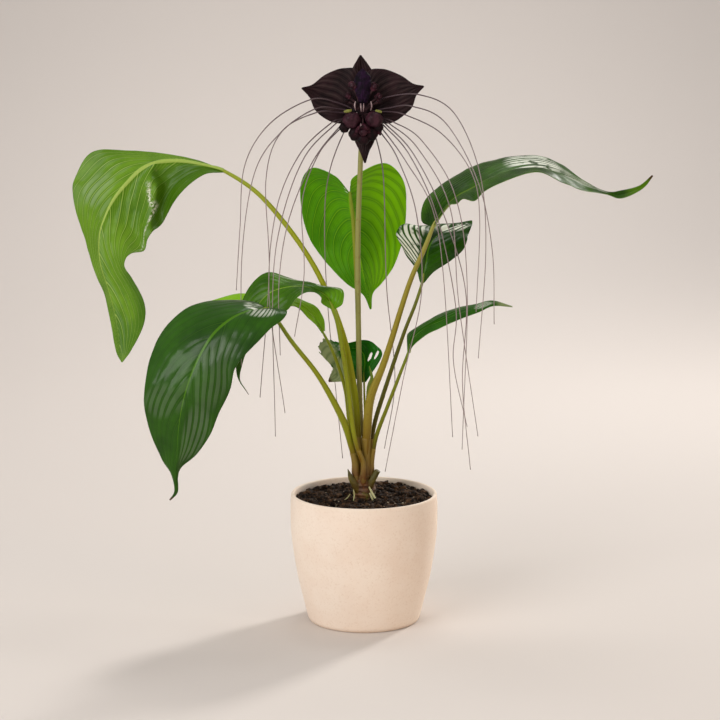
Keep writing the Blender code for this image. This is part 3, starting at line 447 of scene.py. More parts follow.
class Skin:
    """A material in the making: its nodes, the place on the plant and the colour so far."""

    def __init__(self, name, roughness, colour, **extra):
        self.look = bpy.data.materials.new(name)
        self.look.use_nodes = True
        self.tree = self.look.node_tree
        self.shader = self.tree.nodes["Principled BSDF"]
        self.shader.inputs["Roughness"].default_value = roughness
        for socket, value in extra.items():
            self.shader.inputs[socket.replace("_", " ")].default_value = value
        self.colour = daylight(colour)
        self.place = self.put("TexCoord").outputs["Object"]

    def feed(self, socket, source):
        """Link an input or give it a fixed value. A None leaves it as it is."""
        if isinstance(source, bpy.types.NodeSocket):
            self.tree.links.new(source, socket)
        elif source is not None:
            socket.default_value = source

    def put(self, kind, *sources, **settings):
        """Add a node, set its fields and feed its inputs in order."""
        node = self.tree.nodes.new("ShaderNode" + kind)
        for field, value in settings.items():
            setattr(node, field, value)
        for socket, source in zip(node.inputs, sources):
            self.feed(socket, source)
        return node

    def maths(self, operation, *numbers):
        """One sum on numbers or sockets."""
        return self.put("Math", *numbers, operation=operation).outputs[0]

    def times(self, first, second):
        """One number times another."""
        return self.maths("MULTIPLY", first, second)

    def step(self, value, low, high, top=1.0, bottom=0.0):
        """A value read between two levels as a smooth step."""
        return self.put("MapRange", value, low, high, bottom, top, interpolation_type="SMOOTHSTEP").outputs[0]

    def lines(self, phase, width, top=1.0, start=0.0):
        """Lines where the phase is a whole number, as strong as top, that fade out over their width."""
        return self.step(self.maths("PINGPONG", phase, 0.5), start, width, 0.0, top)

    def grain(self, scale, detail=3.0, roughness=0.5, at=None, stretch=None):
        """Noise from 0 to 1 over the plant, or over another place, which can be stretched."""
        at = self.place if at is None else at
        if stretch:
            at = self.put("Mapping", at, None, None, stretch).outputs[0]
        node = self.put("TexNoise", at)
        for socket, value in (("Scale", scale), ("Detail", detail), ("Roughness", roughness)):
            node.inputs[socket].default_value = value
        return node.outputs[0]

    def part(self, place, axis):
        """One number of a place: 0 for x, 1 for y and 2 for z."""
        return self.put("SeparateXYZ", place).outputs[axis]

    def height(self):
        """How high a place lies on the plant, in metres."""
        return self.part(self.place, 2)

    def sheet(self):
        """The place on a blade or stalk: across it and along it, each from 0 to 1."""
        return self.put("UVMap", uv_map="UVMap").outputs[0]

    def centred(self, sheet):
        """How far off its midrib a place on a blade lies: -1 and 1 at the edges."""
        return self.maths("MULTIPLY_ADD", self.part(sheet, 0), 2.0, -1.0)

    def tint(self, other, amount):
        """Lay another colour over the colour so far, by an amount."""
        mix = self.put("Mix", amount, *[None] * 5, self.colour, daylight(other), data_type="RGBA")
        self.colour = mix.outputs[2]

    def done(self, height=None, strength=0.0, distance=0.0):
        """Feed the colour to the shader, with a height as a fine relief, and give the material."""
        self.feed(self.shader.inputs["Base Color"], self.colour)
        if height is not None:
            bump = self.put("Bump")
            bump.inputs["Strength"].default_value = strength
            bump.inputs["Distance"].default_value = distance
            self.feed(bump.inputs["Height"], height)
            self.feed(self.shader.inputs["Normal"], bump.outputs[0])
        return self.look


def daylight(levels):
    """A colour seen in daylight, from 0 to 255 a channel, as light for a shader."""
    return tuple((level / 255) ** 2.2 for level in levels) + (1,)


# Blades
def blade_look(name, tones, count, lean, roughness, coat, veins, bars=(), marked=False, zone=None,
               dry_tip=False, painted_glow=None):
    """A leaf face: curved side veins, painted shade in the hollows beside them, finer veins, mottling,
    painted highlight bars and a browned tip.

    Tones are the ground, its dark and its vein. The tables of the leaves say what highlight bars, a zone and
    the half with a painted glow are. A marked face has a painted glint along the crease and painted shade,
    held in its mesh.
    """
    ground, dark, vein = tones
    skin = Skin(name, roughness, dark, Coat_Weight=coat, Coat_Roughness=0.16, Specular_IOR_Level=0.1)
    sheet = skin.sheet()
    centred = skin.centred(sheet)
    along = skin.part(sheet, 1)
    off = skin.maths("ABSOLUTE", centred)
    swept = skin.times(skin.maths("POWER", off, VEIN_CURVE), lean)
    wander = skin.maths("MULTIPLY_ADD", skin.grain(16.0, 2.0), 0.02, -0.01)
    start = skin.maths("ADD", skin.maths("SUBTRACT", along, swept), wander)
    phase = skin.times(start, count)
    main = skin.lines(phase, 0.06)
    fine = skin.lines(skin.times(phase, FINE_VEINS), 0.22)
    width = skin.times(skin.maths("POWER", skin.maths("SUBTRACT", 1.03, along), 1.6), 0.055)
    rib = skin.maths("LESS_THAN", off, width)
    skin.tint(ground, skin.step(skin.grain(26.0, 4.0, 0.6), 0.3, 0.72))
    skin.tint(ground, skin.step(skin.grain(9.0, 2.0), 0.4, 0.7, 0.5))
    # Painted glow on the half that light shines through
    if painted_glow:
        start, end, amount, other = painted_glow
        skin.tint(other, skin.step(centred, start, end, amount))
    if zone:
        start, end, before, after, other = zone
        skin.tint(other, skin.step(along, start, end, after, before))
    # Painted shade in the hollows beside the veins
    skin.tint(dark, skin.lines(phase, 0.32, 0.2 + 0.5 * veins, 0.02))
    skin.tint(vein, skin.times(fine, 0.35 * veins))
    skin.tint(vein, skin.times(main, veins))
    skin.tint(vein, skin.times(rib, 0.85))
    # Painted highlights: pale bars where the light would catch the swells
    if bars:
        skin.tint(HIGHLIGHT_TONE, painted_highlight_bars(skin, centred, along, phase, bars))
    # Painted shade and a painted glint along the crease, both held on the mesh
    if marked:
        shade, streaks = [skin.put("Attribute", attribute_name=mark).outputs[2] for mark in ("shade", "streaks")]
        skin.tint(SHADE_TONE, skin.times(shade, 0.68))
        crumple = skin.step(skin.grain(260.0, 4.0, 0.7), 0.4, 0.58)
        skin.tint(CREASE_GLINT_TONE, skin.times(streaks, crumple))
    if dry_tip:
        skin.tint(DRY_TONE, skin.step(along, 0.955, 0.99))
    wear = skin.maths("MULTIPLY_ADD", skin.grain(60.0, 2.0), 0.2, roughness - 0.1)
    skin.feed(skin.shader.inputs["Roughness"], wear)
    relief = skin.maths("MULTIPLY_ADD", fine, -0.3, skin.grain(420.0, 2.0))
    return skin.done(relief, 0.16, SKIN_RELIEF)


def painted_highlight_bars(skin, centred, along, phase, bars):
    """Painted highlights where the light would catch the swells between the veins: rows of soft pale bars in
    a patch.
    """
    total = 0.0
    for middle, off, long, wide, strength, every in bars:
        down = skin.maths("DIVIDE", skin.maths("SUBTRACT", along, middle), long)
        out = skin.maths("DIVIDE", skin.maths("SUBTRACT", centred, off), wide)
        far = skin.maths("MULTIPLY_ADD", down, down, skin.times(out, out))
        patch = skin.step(far, 0.35, 1.0, 0.0, strength)
        swell = skin.step(skin.maths("PINGPONG", skin.times(phase, every), 0.5), 0.14, 0.24)
        broken = skin.step(skin.grain(70.0, 3.0, 0.6), 0.34, 0.5, 1.0, 1 - strength)
        bar = skin.times(skin.times(patch, swell), broken)
        total = skin.maths("MAXIMUM", total, bar)
    return total


def narrow(point, rib, half_width):
    """A rib at the base or the tip: it spreads as its neighbour does, by this much."""
    middle, left, right = [Vector(place) for place in rib]
    point = Vector(point)
    return (point, point + (left - middle).normalized() * half_width,
            point + (right - middle).normalized() * half_width)


def across_rib(middle, edge, up, u):
    """A point between the midrib and an edge, on a line that arches up between them."""
    crown = (middle + edge) / 2 + up * BLADE_ARCH * (edge - middle).length
    return (1 - u) ** 2 * middle + 2 * u * (1 - u) * crown + u * u * edge


def blade(name, parts, looks, veins, lean, columns, rows, wave, quilt, crinkle=0.8,
          rib=MIDRIB_THICKNESS, relief=None, marks=None, slots=()):
    """A blade over its ribs: quilted between curved veins, with a waved edge and a midrib below."""
    base = parts["stalk"][-1][:3] if "stalk" in parts else parts["base"]
    ribs = [(row[:3], row[3:6], row[6:]) for row in parts["ribs"]]
    ribs = [narrow(base, ribs[0], BASE_HALF_WIDTH), *ribs, narrow(parts["tip"], ribs[-1], TIP_HALF_WIDTH)]
    middles, lefts, rights = zip(*ribs)
    shape = grid(2 * columns, rows)
    weights = shape.verts.layers.deform.verify()
    streaks = shape.verts.layers.float.new("streaks")
    shade = shape.verts.layers.float.new("shade")
    torn = []
    for vert in shape.verts:
        side = vert.co.x
        s = (vert.co.y + 1) / 2
        u = abs(side)
        middle = on_curve(middles, s)
        left = on_curve(lefts, s)
        right = on_curve(rights, s)
        ahead = on_curve(middles, s + 0.02) - on_curve(middles, s - 0.02)
        up = (right - left).cross(ahead).normalized()
        ends = math.sin(math.pi * s)
        ripple = wave * math.sin(TURN * EDGE_WAVES * s + side) * ends * u * u
        phase = (s - lean * u ** VEIN_CURVE) * veins
        swell = abs(math.sin(math.pi * phase)) ** 0.7 * (1 - u ** 4) * min(1, u * 7)
        ripple += quilt * (swell - 0.5) * min(1, ends * 2.2)
        ripple += wave * 0.5 * noise.noise((s * 16, side * 2.5, veins)) * u ** 3 * ends
        ripple -= MIDRIB_HOLLOW * hump(u, 0, 0.05) * (1 - s)
        place = across_rib(middle, left if side < 0 else right, up, u)
        ripple += crinkle * noise.noise(place / 14) * min(1, u * 3) * ends
        if relief:
            ripple += relief(s, side)
        # The painted glint line along the crease and the painted shade, kept on the mesh for the face's
        # colour
        if marks:
            vert[streaks], vert[shade] = marks(s, side)
            ripple += CREASE_CRUMPLE_HEIGHT * vert[streaks] * noise.noise(place / 2.2)
        ragged = slots and s > 0.6 and side > 0.9 + 0.22 * noise.noise((s * 40, 0, 0))
        if ragged or any(math.hypot((s - at) / long, (side - off - SLOT_SLANT * (s - at)) / wide) < 1
                         for at, off, long, wide in slots):
            torn.append(vert)
        vert.co = (place + up * (ripple + BLADE_THICKNESS / 2)) * MM
        vert[weights][0] = hump(u, 0, 0.055) * (1 - s) ** 1.5
    bmesh.ops.delete(shape, geom=torn, context="VERTS")
    piece = to_piece(name, shape, *looks)
    group = piece.vertex_groups.new(name="midrib")
    wall = piece.modifiers.new("Wall", "SOLIDIFY")
    wall.thickness = rib * MM
    wall.offset = -1
    wall.vertex_group = group.name
    wall.thickness_vertex_group = BLADE_THICKNESS / rib
    wall.material_offset = 1
    wall.material_offset_rim = 1
    return piece


# Stalks
def stalk_look(name, foot, middle, head, redness=0.5):
    """A fleshy stalk: reddish foot, olive middle, greener head, with fine streaks along it."""
    skin = Skin(name, 0.45, foot, Coat_Weight=0.05, Coat_Roughness=0.3, Specular_IOR_Level=0.2)
    sheet = skin.sheet()
    along = skin.part(sheet, 1)
    skin.tint(middle, skin.step(along, 0.02, 0.3))
    skin.tint(head, skin.step(along, 0.45, 1.0))
    skin.tint(foot, skin.step(skin.grain(3.0, 4.0, 0.65, sheet, (14.0, 1.6, 1.0)), 0.5, 0.72, redness))
    skin.tint(foot, skin.step(skin.grain(240.0, 2.0), 0.6, 0.7, 0.3))
    return skin.done(skin.grain(2.0, 2.0, 0.5, sheet, (60.0, 2.0, 1.0)), 0.25, SKIN_RELIEF)


def rolled(name, route, look, around, rings, groove=0.0, groove_at=0.0, lump=0.0):
    """A round stalk along a route of x, y, z and radius, with a shallow groove along one side."""
    shape = grid(around, rings)
    for vert in shape.verts:
        angle = math.pi * vert.co.x
        s = (vert.co.y + 1) / 2
        spot = on_curve(route, s)
        ahead = (on_curve(route, s + 0.01) - on_curve(route, s - 0.01)).to_3d().normalized()
        flank = Vector((0, 1, 0)).cross(ahead).normalized()
        front = ahead.cross(flank)
        turn = (angle - groove_at + math.pi) % TURN - math.pi
        radius = spot.w * (1 - groove * hump(turn, 0, 0.5))
        radius += lump * noise.noise((spot.x / 9 + math.cos(angle), spot.y / 9, spot.z / 9 + math.sin(angle)))
        vert.co = (spot.to_3d() + (flank * math.cos(angle) + front * math.sin(angle)) * radius) * MM
    bmesh.ops.remove_doubles(shape, verts=shape.verts, dist=WELD)
    bmesh.ops.holes_fill(shape, edges=[edge for edge in shape.edges if edge.is_boundary], sides=0)
    bmesh.ops.recalc_face_normals(shape, faces=shape.faces)
    return to_piece(name, shape, look)


def place_rolls(name, ways, look, around, rings, lump, slot):
    """Roll a piece along each of these routes, number it and seat it."""
    for i, way in enumerate(ways):
        place_piece(rolled("%s_%d" % (name, i), way, look, around, rings, lump=lump), slot)


# Turned shapes
def lathe(name, profile, steps, look):
    """A turned solid: its profile starts on the axis, runs round its outline and ends on the axis."""
    shape = bmesh.new()
    last = None
    edges = []
    for radius, height in profile:
        vert = shape.verts.new((radius * MM, 0, height * MM))
        if last:
            edges.append(shape.edges.new((last, vert)))
        last = vert
    bmesh.ops.spin(shape, geom=shape.verts[:] + edges, cent=(0, 0, 0), axis=(0, 0, 1), dvec=(0, 0, 0),
                   angle=TURN, steps=steps, use_merge=True, use_duplicate=False)
    bmesh.ops.remove_doubles(shape, verts=shape.verts, dist=WELD)
    bmesh.ops.recalc_face_normals(shape, faces=shape.faces)
    return to_piece(name, shape, look)


def pot_look():
    """Unglazed cream ware: faint mottling, fine grain and a foot slightly darker in its lowest few
    millimetres.
    """
    skin = Skin("pot_cream_ware", 0.72, (235, 215, 197))
    cloud = skin.grain(22.0, 3.0, 0.6)
    fleck = skin.grain(380.0, 3.0, 0.7)
    skin.tint((240, 224, 208), skin.step(cloud, 0.25, 0.75))
    skin.tint((208, 178, 150), skin.step(fleck, 0.52, 0.7, 0.3))
    skin.tint((190, 160, 132), skin.step(skin.height(), 0.0, 0.006, 0.0, 0.35))
    return skin.done(skin.maths("MULTIPLY_ADD", cloud, 2.0, fleck), 0.22, SKIN_RELIEF)


def make_pot():
    """The pot, with a rounded lip and a softly rounded foot."""
    side = [on_curve(POT_SIDE, i / 56) for i in range(57)]
    wall = [Vector((radius - WALL, height)) for radius, height in side if height > POT_FLOOR + 3][::-1]
    lip = [Vector(LIP_MIDDLE) + scaled((math.cos(turn), math.sin(turn)), LIP_REACH)
           for turn in (math.pi * (1 - i / 10) for i in range(11))]
    inside = [(0, POT_FLOOR), (wall[0].x - 5, POT_FLOOR), (wall[0].x - 1.5, POT_FLOOR + 1)]
    profile = inside + [tuple(point) for point in wall[:-1] + lip + side[1:]] + FOOT_EDGE
    place_piece(lathe("pot_body", profile, POT_STEPS, pot_look()), "pot_ceramic", "pot")


# Soil
def soil_look():
    """Moist potting soil: near black crumbs with brown fibre and a few pale grains."""
    skin = Skin("soil_crumbs", 0.85, (20, 13, 9), Specular_IOR_Level=0.15)
    crumb = skin.grain(300.0, 5.0, 0.7)
    skin.tint(SOIL_LIGHT, skin.step(crumb, 0.45, 0.8))
    skin.tint(SOIL_LIGHT, skin.step(skin.grain(90.0), 0.5, 0.7, 0.6))
    skin.tint((170, 150, 125), skin.step(skin.grain(900.0, 1.0), 0.72, 0.8, 0.6))
    return skin.done(crumb, 0.9, 0.0015)


def grit_look():
    """Pale bits of bark and perlite on the soil."""
    skin = Skin("soil_pale_bits", 0.8, (96, 74, 52))
    skin.tint((176, 160, 136), skin.step(skin.grain(60.0, 1.0), 0.4, 0.6))
    return skin.done()


def soil_height(x, y):
    """How high the soil's uneven top stands at a place."""
    spot = Vector((x, y, 0))
    rise = sum(height * noise.noise(spot / pitch) for height, pitch in SOIL_SWELLS)
    return SOIL_TOP + rise + SOIL_LIFT


def soil_spot(draw, share, margin):
    """A random place on the soil: how far out it lies, and its x and y."""
    reach = math.sqrt(draw.uniform(0.03, share)) * (SOIL_RADIUS - margin)
    turn = draw.uniform(0, TURN)
    return reach, reach * math.cos(turn), reach * math.sin(turn)


def make_soil():
    """The fill of soil: a body with an uneven top, and loose clods that lie half sunk in it."""
    look = soil_look()
    rings = 44
    top = [(HOLE_RADIUS + (SOIL_RADIUS - HOLE_RADIUS) * i / rings, SOIL_TOP) for i in range(rings + 1)]
    hole = [(0, RHIZOME_FOOT - 0.3), (HOLE_RADIUS, RHIZOME_FOOT - 0.3)]
    body = lathe("soil_body", hole + top + SOIL_SIDE, 120, look)
    for vert in body.data.vertices:
        if vert.co.z > (SOIL_TOP - 0.5) * MM:
            vert.co.z = soil_height(vert.co.x / MM, vert.co.y / MM) * MM
    place_piece(body, "soil", "soil")
    draw = random.Random(31)
    shape = bmesh.new()
    for i in range(CLODS):
        reach, x, y = soil_spot(draw, 0.95, 1)
        size = draw.choice(CLOD_SIZES)
        if reach + size > SOIL_RADIUS:
            continue
        made = bmesh.ops.create_icosphere(shape, subdivisions=2, radius=1)
        squash = Vector((draw.uniform(0.8, 1.3), draw.uniform(0.7, 1.1), draw.uniform(0.5, 0.85))) * size
        spin = Matrix.Rotation(draw.uniform(0, TURN), 3, "Z")
        spin = spin @ Matrix.Rotation(draw.uniform(-0.5, 0.5), 3, "X")
        centre = Vector((x, y, soil_height(x, y) + size * 0.15))
        for vert in made["verts"]:
            knob = 1 + 0.35 * noise.noise(vert.co * 1.7 + Vector((i, 0, 0)))
            knob += 0.14 * noise.noise(vert.co * 5 + Vector((i, 3, 0)))
            vert.co = (centre + spin @ scaled(vert.co, squash) * knob) * MM
    place_piece(to_piece("soil_clods", shape, look), "soil")
    shape = bmesh.new()
    for i in range(GRIT):
        reach, x, y = soil_spot(draw, 0.9, 3)
        made = bmesh.ops.create_icosphere(shape, subdivisions=1, radius=draw.uniform(0.4, 1.0) * MM)
        bmesh.ops.scale(shape, vec=(draw.uniform(0.8, 2.4), 1, 0.7), verts=made["verts"])
        bmesh.ops.rotate(shape, verts=made["verts"], cent=(0, 0, 0),
                         matrix=Matrix.Rotation(draw.uniform(0, TURN), 3, "Z"))
        bmesh.ops.translate(shape, verts=made["verts"],
                            vec=Vector((x, y, soil_height(x, y) + 1.2)) * MM)
    place_piece(to_piece("soil_grit", shape, grit_look()), "soil")


# Crown
def crown_look():
    """The rhizome's skin: brown scars and fibre with olive patches."""
    skin = Skin("crown_skin", 0.6, (62, 36, 18))
    streaks = skin.grain(1.0, 4.0, 0.7, stretch=(60.0, 60.0, 420.0))
    fibre = skin.grain(1.0, 2.0, stretch=(700.0, 700.0, 60.0))
    skin.tint((112, 74, 38), skin.step(streaks, 0.35, 0.7))
    skin.tint((106, 98, 36), skin.step(skin.grain(85.0, 3.0, 0.6), 0.5, 0.7))
    skin.tint((120, 104, 44), skin.step(skin.height(), 0.16, 0.19))
    skin.tint((58, 34, 20), skin.step(fibre, 0.55, 0.75, 0.35))
    return skin.done(skin.maths("ADD", streaks, fibre), 0.6, 0.0012)


def sheath_look(name, foot, head):
    """A sheath at a stalk's foot: brown at the base, olive above, ribbed along."""
    skin = Skin(name, 0.5, foot)
    sheet = skin.sheet()
    along = skin.part(sheet, 1)
    rib = skin.grain(3.0, 4.0, 0.7, sheet, (26.0, 1.4, 1.0))
    skin.tint(head, skin.step(along, 0.1, 0.85))
    skin.tint((84, 46, 22), skin.step(rib, 0.42, 0.7, 0.6))
    skin.tint((126, 112, 44), skin.step(skin.grain(130.0, 3.0, 0.6), 0.52, 0.7, 0.5))
    return skin.done(rib, 0.5, 0.001)


def root_look():
    """Young roots: pale green and cream."""
    skin = Skin("crown_pale_roots", 0.55, (196, 190, 140))
    skin.tint((150, 148, 88), skin.grain(140.0, 2.0))
    return skin.done()


def make_crown(stalks):
    """The rhizome, a sheath round every stalk's foot, two old sheaths and a few pale roots."""
    outline = [tuple(on_curve(RHIZOME[1:7], i / 40)) for i in range(41)]
    body = lathe("crown_rhizome", [RHIZOME[0]] + outline + RHIZOME[-2:], 56, crown_look())
    for vert in body.data.vertices:
        spot = vert.co / MM
        if spot.z > SOIL_TOP - 4:
            ring = 0.45 * math.sin(spot.z * 1.15 + 1.5 * noise.noise(spot / 8))
            out = Vector((spot.x, spot.y, 0)).normalized()
            swell = 1.6 * noise.noise(spot / 7) + 0.7 * noise.noise(spot / 2.6) + ring
            vert.co = (spot + out * min(swell, 2.2)) * MM
    place_piece(body, "crown", "crown")
    skin = sheath_look("crown_sheaths", (102, 58, 22), (136, 112, 32))
    for i, route in enumerate(stalks):
        x, y, z, radius = route[0]
        above = on_curve(route, 0.13)
        way = [(x * 0.55, y * 0.55, 152, radius * 1.5), (x * 0.9, y * 0.9, 172, radius * 1.45),
               (x, y, z, radius * 1.28), (above.x, above.y, above.z, above.w * 1.06)]
        place_piece(rolled("crown_sheath_%d" % i, way, skin, 20, 40, 0.12, 1.7 * i, 0.5), "crown")
    green = sheath_look("crown_old_green", (84, 66, 18), (78, 76, 18))
    for name, groove, groove_at, way in OLD_SHEATHS:
        place_piece(rolled(name, way, green, 20, 40, groove, groove_at, 0.4), "crown")
    place_rolls("crown_root", ROOTS, root_look(), 8, 24, 0.25, "crown")


# Bloom
def bract_look(name, ground, dark, vein, count, lean):
    """A bat-wing bract: near black maroon with greyer veins that fan out from its base, and painted shade
    towards its base.
    """
    skin = Skin(name, 0.6, dark, Specular_IOR_Level=0.12)
    sheet = skin.sheet()
    along = skin.part(sheet, 1)
    fan = skin.maths("DIVIDE", skin.centred(sheet), skin.maths("ADD", along, lean))
    phase = skin.maths("MULTIPLY_ADD", fan, count, skin.grain(45.0, 2.0))
    main = skin.lines(phase, 0.42)
    fine = skin.lines(skin.times(phase, 3.0), 0.4)
    soft = skin.step(skin.grain(40.0, 2.0), 0.35, 0.65, 0.6, 0.15)
    skin.tint(ground, skin.step(skin.grain(70.0, 3.0, 0.6), 0.35, 0.7))
    skin.tint(vein, skin.times(main, soft))
    skin.tint(vein, skin.times(fine, 0.2))
    # Painted shade: darker towards the base, near the middle of the bloom
    skin.tint(dark, skin.step(along, 0.0, 0.4, 0.0, 0.85))
    return skin.done(skin.maths("ADD", main, fine), 0.3, SKIN_RELIEF)


def petal_look(name, ground, dark, roughness, coat):
    """A waxy floret skin with cloudy shading."""
    skin = Skin(name, roughness, dark, Coat_Weight=coat, Coat_Roughness=0.2, Specular_IOR_Level=0.12)
    skin.tint(ground, skin.step(skin.grain(150.0, 3.0, 0.6), 0.35, 0.68))
    return skin.done(skin.grain(900.0, 2.0), 0.15, 0.0004)


def make_bracts():
    """Two wings, an upright bract behind them, a pointed one below, and the receptacle."""
    skin = bract_look("bract_skin", (42, 22, 27), (22, 9, 14), (70, 56, 55), 3.0, 0.16)
    back = bract_look("bract_back", (58, 40, 42), (36, 22, 24), (80, 64, 60), 1.6, 0.14)
    for name, parts in BRACTS.items():
        piece = blade(name, parts, (skin, back), 5, 1.5, 26, 90, 0.8, 0.9, crinkle=0.9, rib=1.3)
        nodes = ("bracts",) if name == "bract_left_wing" else ()
        place_piece(piece, "bracts", *nodes)
    place_piece(lump_ball("bract_receptacle", *RECEPTACLE, skin, 0.12, 1.6, 32, 20), "bracts")


def floret_ball(name, centre, radii, look, nod=(0, -1, -0.3)):
    """A round bud: shallow ribs that meet in a small puckered tip."""
    shape = bmesh.new()
    bmesh.ops.create_uvsphere(shape, u_segments=36, v_segments=24, radius=MM)
    turn = Vector((0, 0, 1)).rotation_difference(Vector(nod)).to_matrix()
    for vert in shape.verts:
        unit = vert.co / MM
        angle = math.atan2(unit.y, unit.x)
        rise = 1 + 0.12 * abs(math.cos(BUD_RIBS / 2 * angle)) * (1 - abs(unit.z))
        rise += 0.04 * noise.noise(unit * 2.5) - 0.16 * hump(unit.z, 1, 0.12)
        vert.co = scaled(turn @ (unit * rise), radii) * MM + Vector(centre) * MM
    return to_piece(name, shape, look)


def tepal(shape, centre, facing, turn, length, width, curl, lift):
    """One pointed tepal of an open floret, curled back at its tip."""
    made = bmesh.ops.create_grid(shape, x_segments=6, y_segments=10, size=1)
    flat = Vector((0, 0, 1)).rotation_difference(Vector(facing).normalized()).to_matrix()
    spin = Matrix.Rotation(turn, 3, "Z")
    for vert in made["verts"]:
        s = (vert.co.y + 1) / 2
        side = vert.co.x * width * math.sin(math.pi * (0.12 + 0.86 * s)) ** 0.8
        angle = curl * s
        out = length * math.sin(angle) / curl
        rise = lift * s - length * (1 - math.cos(angle)) / curl + 0.25 * side * side / width
        vert.co = (Vector(centre) + flat @ (spin @ Vector((side, out, rise)))) * MM


def make_open_florets(look, inner):
    """The open florets: six tepals round a short tube with a round heart."""
    tepals = bmesh.new()
    for i, (centre, radius, facing) in enumerate(OPEN_FLORETS):
        for j in range(6):
            outer = j % 2
            tepal(tepals, centre, facing, TURN * j / 6 + 0.3 * i, radius * (1.15 + 0.15 * outer),
                  radius * 0.42, 1.5 + 0.5 * outer, radius * 0.75)
    piece = to_piece("floret_tepals", tepals, look)
    wall = piece.modifiers.new("Wall", "SOLIDIFY")
    wall.thickness = 0.5 * MM
    wall.offset = 0
    place_piece(piece, "florets", "florets")
    for i, (centre, radius, facing) in enumerate(OPEN_FLORETS):
        nose = Vector(facing).normalized()
        way = [(*(Vector(centre) + nose * radius * reach), radius * share)
               for reach, share in ((-0.8, 0.25), (-0.3, 0.55), (0.12, 0.62))]
        place_piece(rolled("floret_cup_%d" % i, way, look, 24, 24, lump=0.15), "florets")
        heart = tuple(Vector(centre) + nose * radius * 0.22)
        place_piece(floret_ball("floret_heart_%d" % i, heart, (radius * 0.36,) * 3, inner, facing), "florets")


def make_florets():
    """The umbel: buds, open florets, the dark hood in the middle, stamens and pedicels."""
    plum = petal_look("floret_plum", (66, 38, 47), (42, 22, 29), 0.5, 0.06)
    night = petal_look("floret_dark", (40, 19, 25), (16, 7, 10), 0.55, 0.02)
    wine = petal_look("floret_wine", (70, 36, 46), (26, 11, 16), 0.55, 0.04)
    indigo = petal_look("floret_indigo", (42, 20, 46), (15, 7, 18), 0.7, 0.0)
    pale = petal_look("floret_stamens", (168, 148, 148), (110, 84, 88), 0.4, 0.2)
    green = petal_look("floret_green", (150, 156, 84), (112, 112, 54), 0.45, 0.1)
    stem = petal_look("floret_pedicels", (62, 42, 44), (34, 20, 24), 0.55, 0.0)
    make_open_florets(wine, plum)
    for i, (centre, radii) in enumerate(BUDS):
        bud = floret_ball("floret_bud_%d" % i, centre, radii, plum if i < PLUM_BUDS else night)
        place_piece(bud, "florets")
    hood = blade("floret_hood", HOOD, (indigo, night), 5, 0.4, 24, 70, 1.2, 0.5, crinkle=1.2, rib=1.2)
    place_piece(hood, "florets")
    slim = [[(x, y, z, 0.75 * radius) for x, y, z, radius in way] for way in STAMENS]
    place_rolls("floret_stamen", slim, pale, 10, 20, 0, "florets")
    place_rolls("floret_ovary", GREEN_BITS, green, 12, 20, 0.2, "florets")
    hub = Vector(FLORET_HUB)
    ends = [(centre, radii[0]) for centre, radii in BUDS] + [floret[:2] for floret in OPEN_FLORETS]
    ways = []
    for centre, radius in ends:
        end = Vector(centre)
        out = (end - hub).normalized()
        bow = (hub + end) / 2 + Vector((0, -2.5, 2.5))
        ways.append([(*(hub + out * 2), 1.4), (*bow, 1.1), (*(end - out * radius * 0.3), 1.5)])
    place_rolls("floret_pedicel", ways, stem, 10, 24, 0.15, "florets")
    # The near-black core: partly dark florets, partly painted shade filling the gap between the hood and the
    # buds
    place_piece(lump_ball("floret_core_and_shade", *FLORET_CORE_AND_SHADE, night, 0.2, 2.2), "florets")


def whisker_look():
    """A whisker: dusky purple near the bloom, paler and browner towards its end."""
    skin = Skin("whisker_skin", 0.5, (60, 40, 48))
    sheet = skin.sheet()
    streak = skin.grain(2.0, 2.0, 0.5, sheet, (3.0, 30.0, 1.0))
    skin.tint((146, 130, 128), skin.step(skin.part(sheet, 1), 0.15, 0.9))
    skin.tint((104, 78, 74), skin.step(streak, 0.5, 0.8, 0.4))
    return skin.done()


def make_whiskers():
    """The whiskers, from their short collar out over the wings and down."""
    look = whisker_look()
    hub = Vector((BLOOM_X, WHISKER_HUB_Y, BLOOM_Z))
    for i, points in enumerate(WHISKERS):
        root = hub + (Vector(points[0]) - hub).normalized() * 4
        fade = WHISKER_RADIUS / 2 / len(points)
        route = [(*point, WHISKER_RADIUS - fade * j) for j, point in enumerate([root] + points)]
        piece = rolled("whisker_%d" % i, route, look, 8, 110, lump=0.06)
        nodes = ("whiskers",) if i == 0 else ()
        place_piece(piece, "whiskers", *nodes)
    place_piece(lump_ball("whisker_collar", hub, (7, 2.4, 7), look, 0.15, 2), "whiskers")


# Leaves
def tall_left_crease(s, side):
    """How far past the crease on the inner half of the tall left leaf a place lies."""
    return s - 0.247 - 0.1 * side - 0.02 * math.sin(9 * side)


def tall_left_relief(s, side):
    """The sharp fold on the inner half of the tall left leaf: steep before it, full after it."""
    past = tall_left_crease(s, side)
    reach = 0.11 if past > 0 else 0.028
    rise = 15 * hump(past, 0, reach) * min(1, max(0, side) * 3)
    return -rise + 3 * hump(side, 0.5, 0.3) * hump(past, -0.09, 0.05)


def tall_left_glint_and_shade(s, side):
    """A painted glint along the crumpled line below the fold, and painted shade before the fold, with the
    same dark tint on the lower margin.
    """
    past = tall_left_crease(s, side)
    inner = min(1, max(0, side - 0.06) * 8)
    line = 0.31 + 0.9 * max(0, side - 0.7) ** 1.3 + 0.008 * math.sin(14 * side)
    streaks = hump(s, line, 0.01 + 0.02 * max(0, side - 0.7)) * min(1, max(0, side - 0.26) * 8)
    streaks *= 1 - 0.7 * max(0, side - 0.8) / 0.2
    before = inner * min(1, max(0, 0.006 - past) * 60)
    margin = hump(side, 1, 0.3) * hump(s, 0.76, 0.12)
    return streaks, max(before, margin)


def tall_right_relief(s, side):
    """The ruffle on the near edge of the tall right leaf."""
    return 2.2 * math.sin(s * 60) * hump(side, 1, 0.35) * hump(s, 0.25, 0.14)


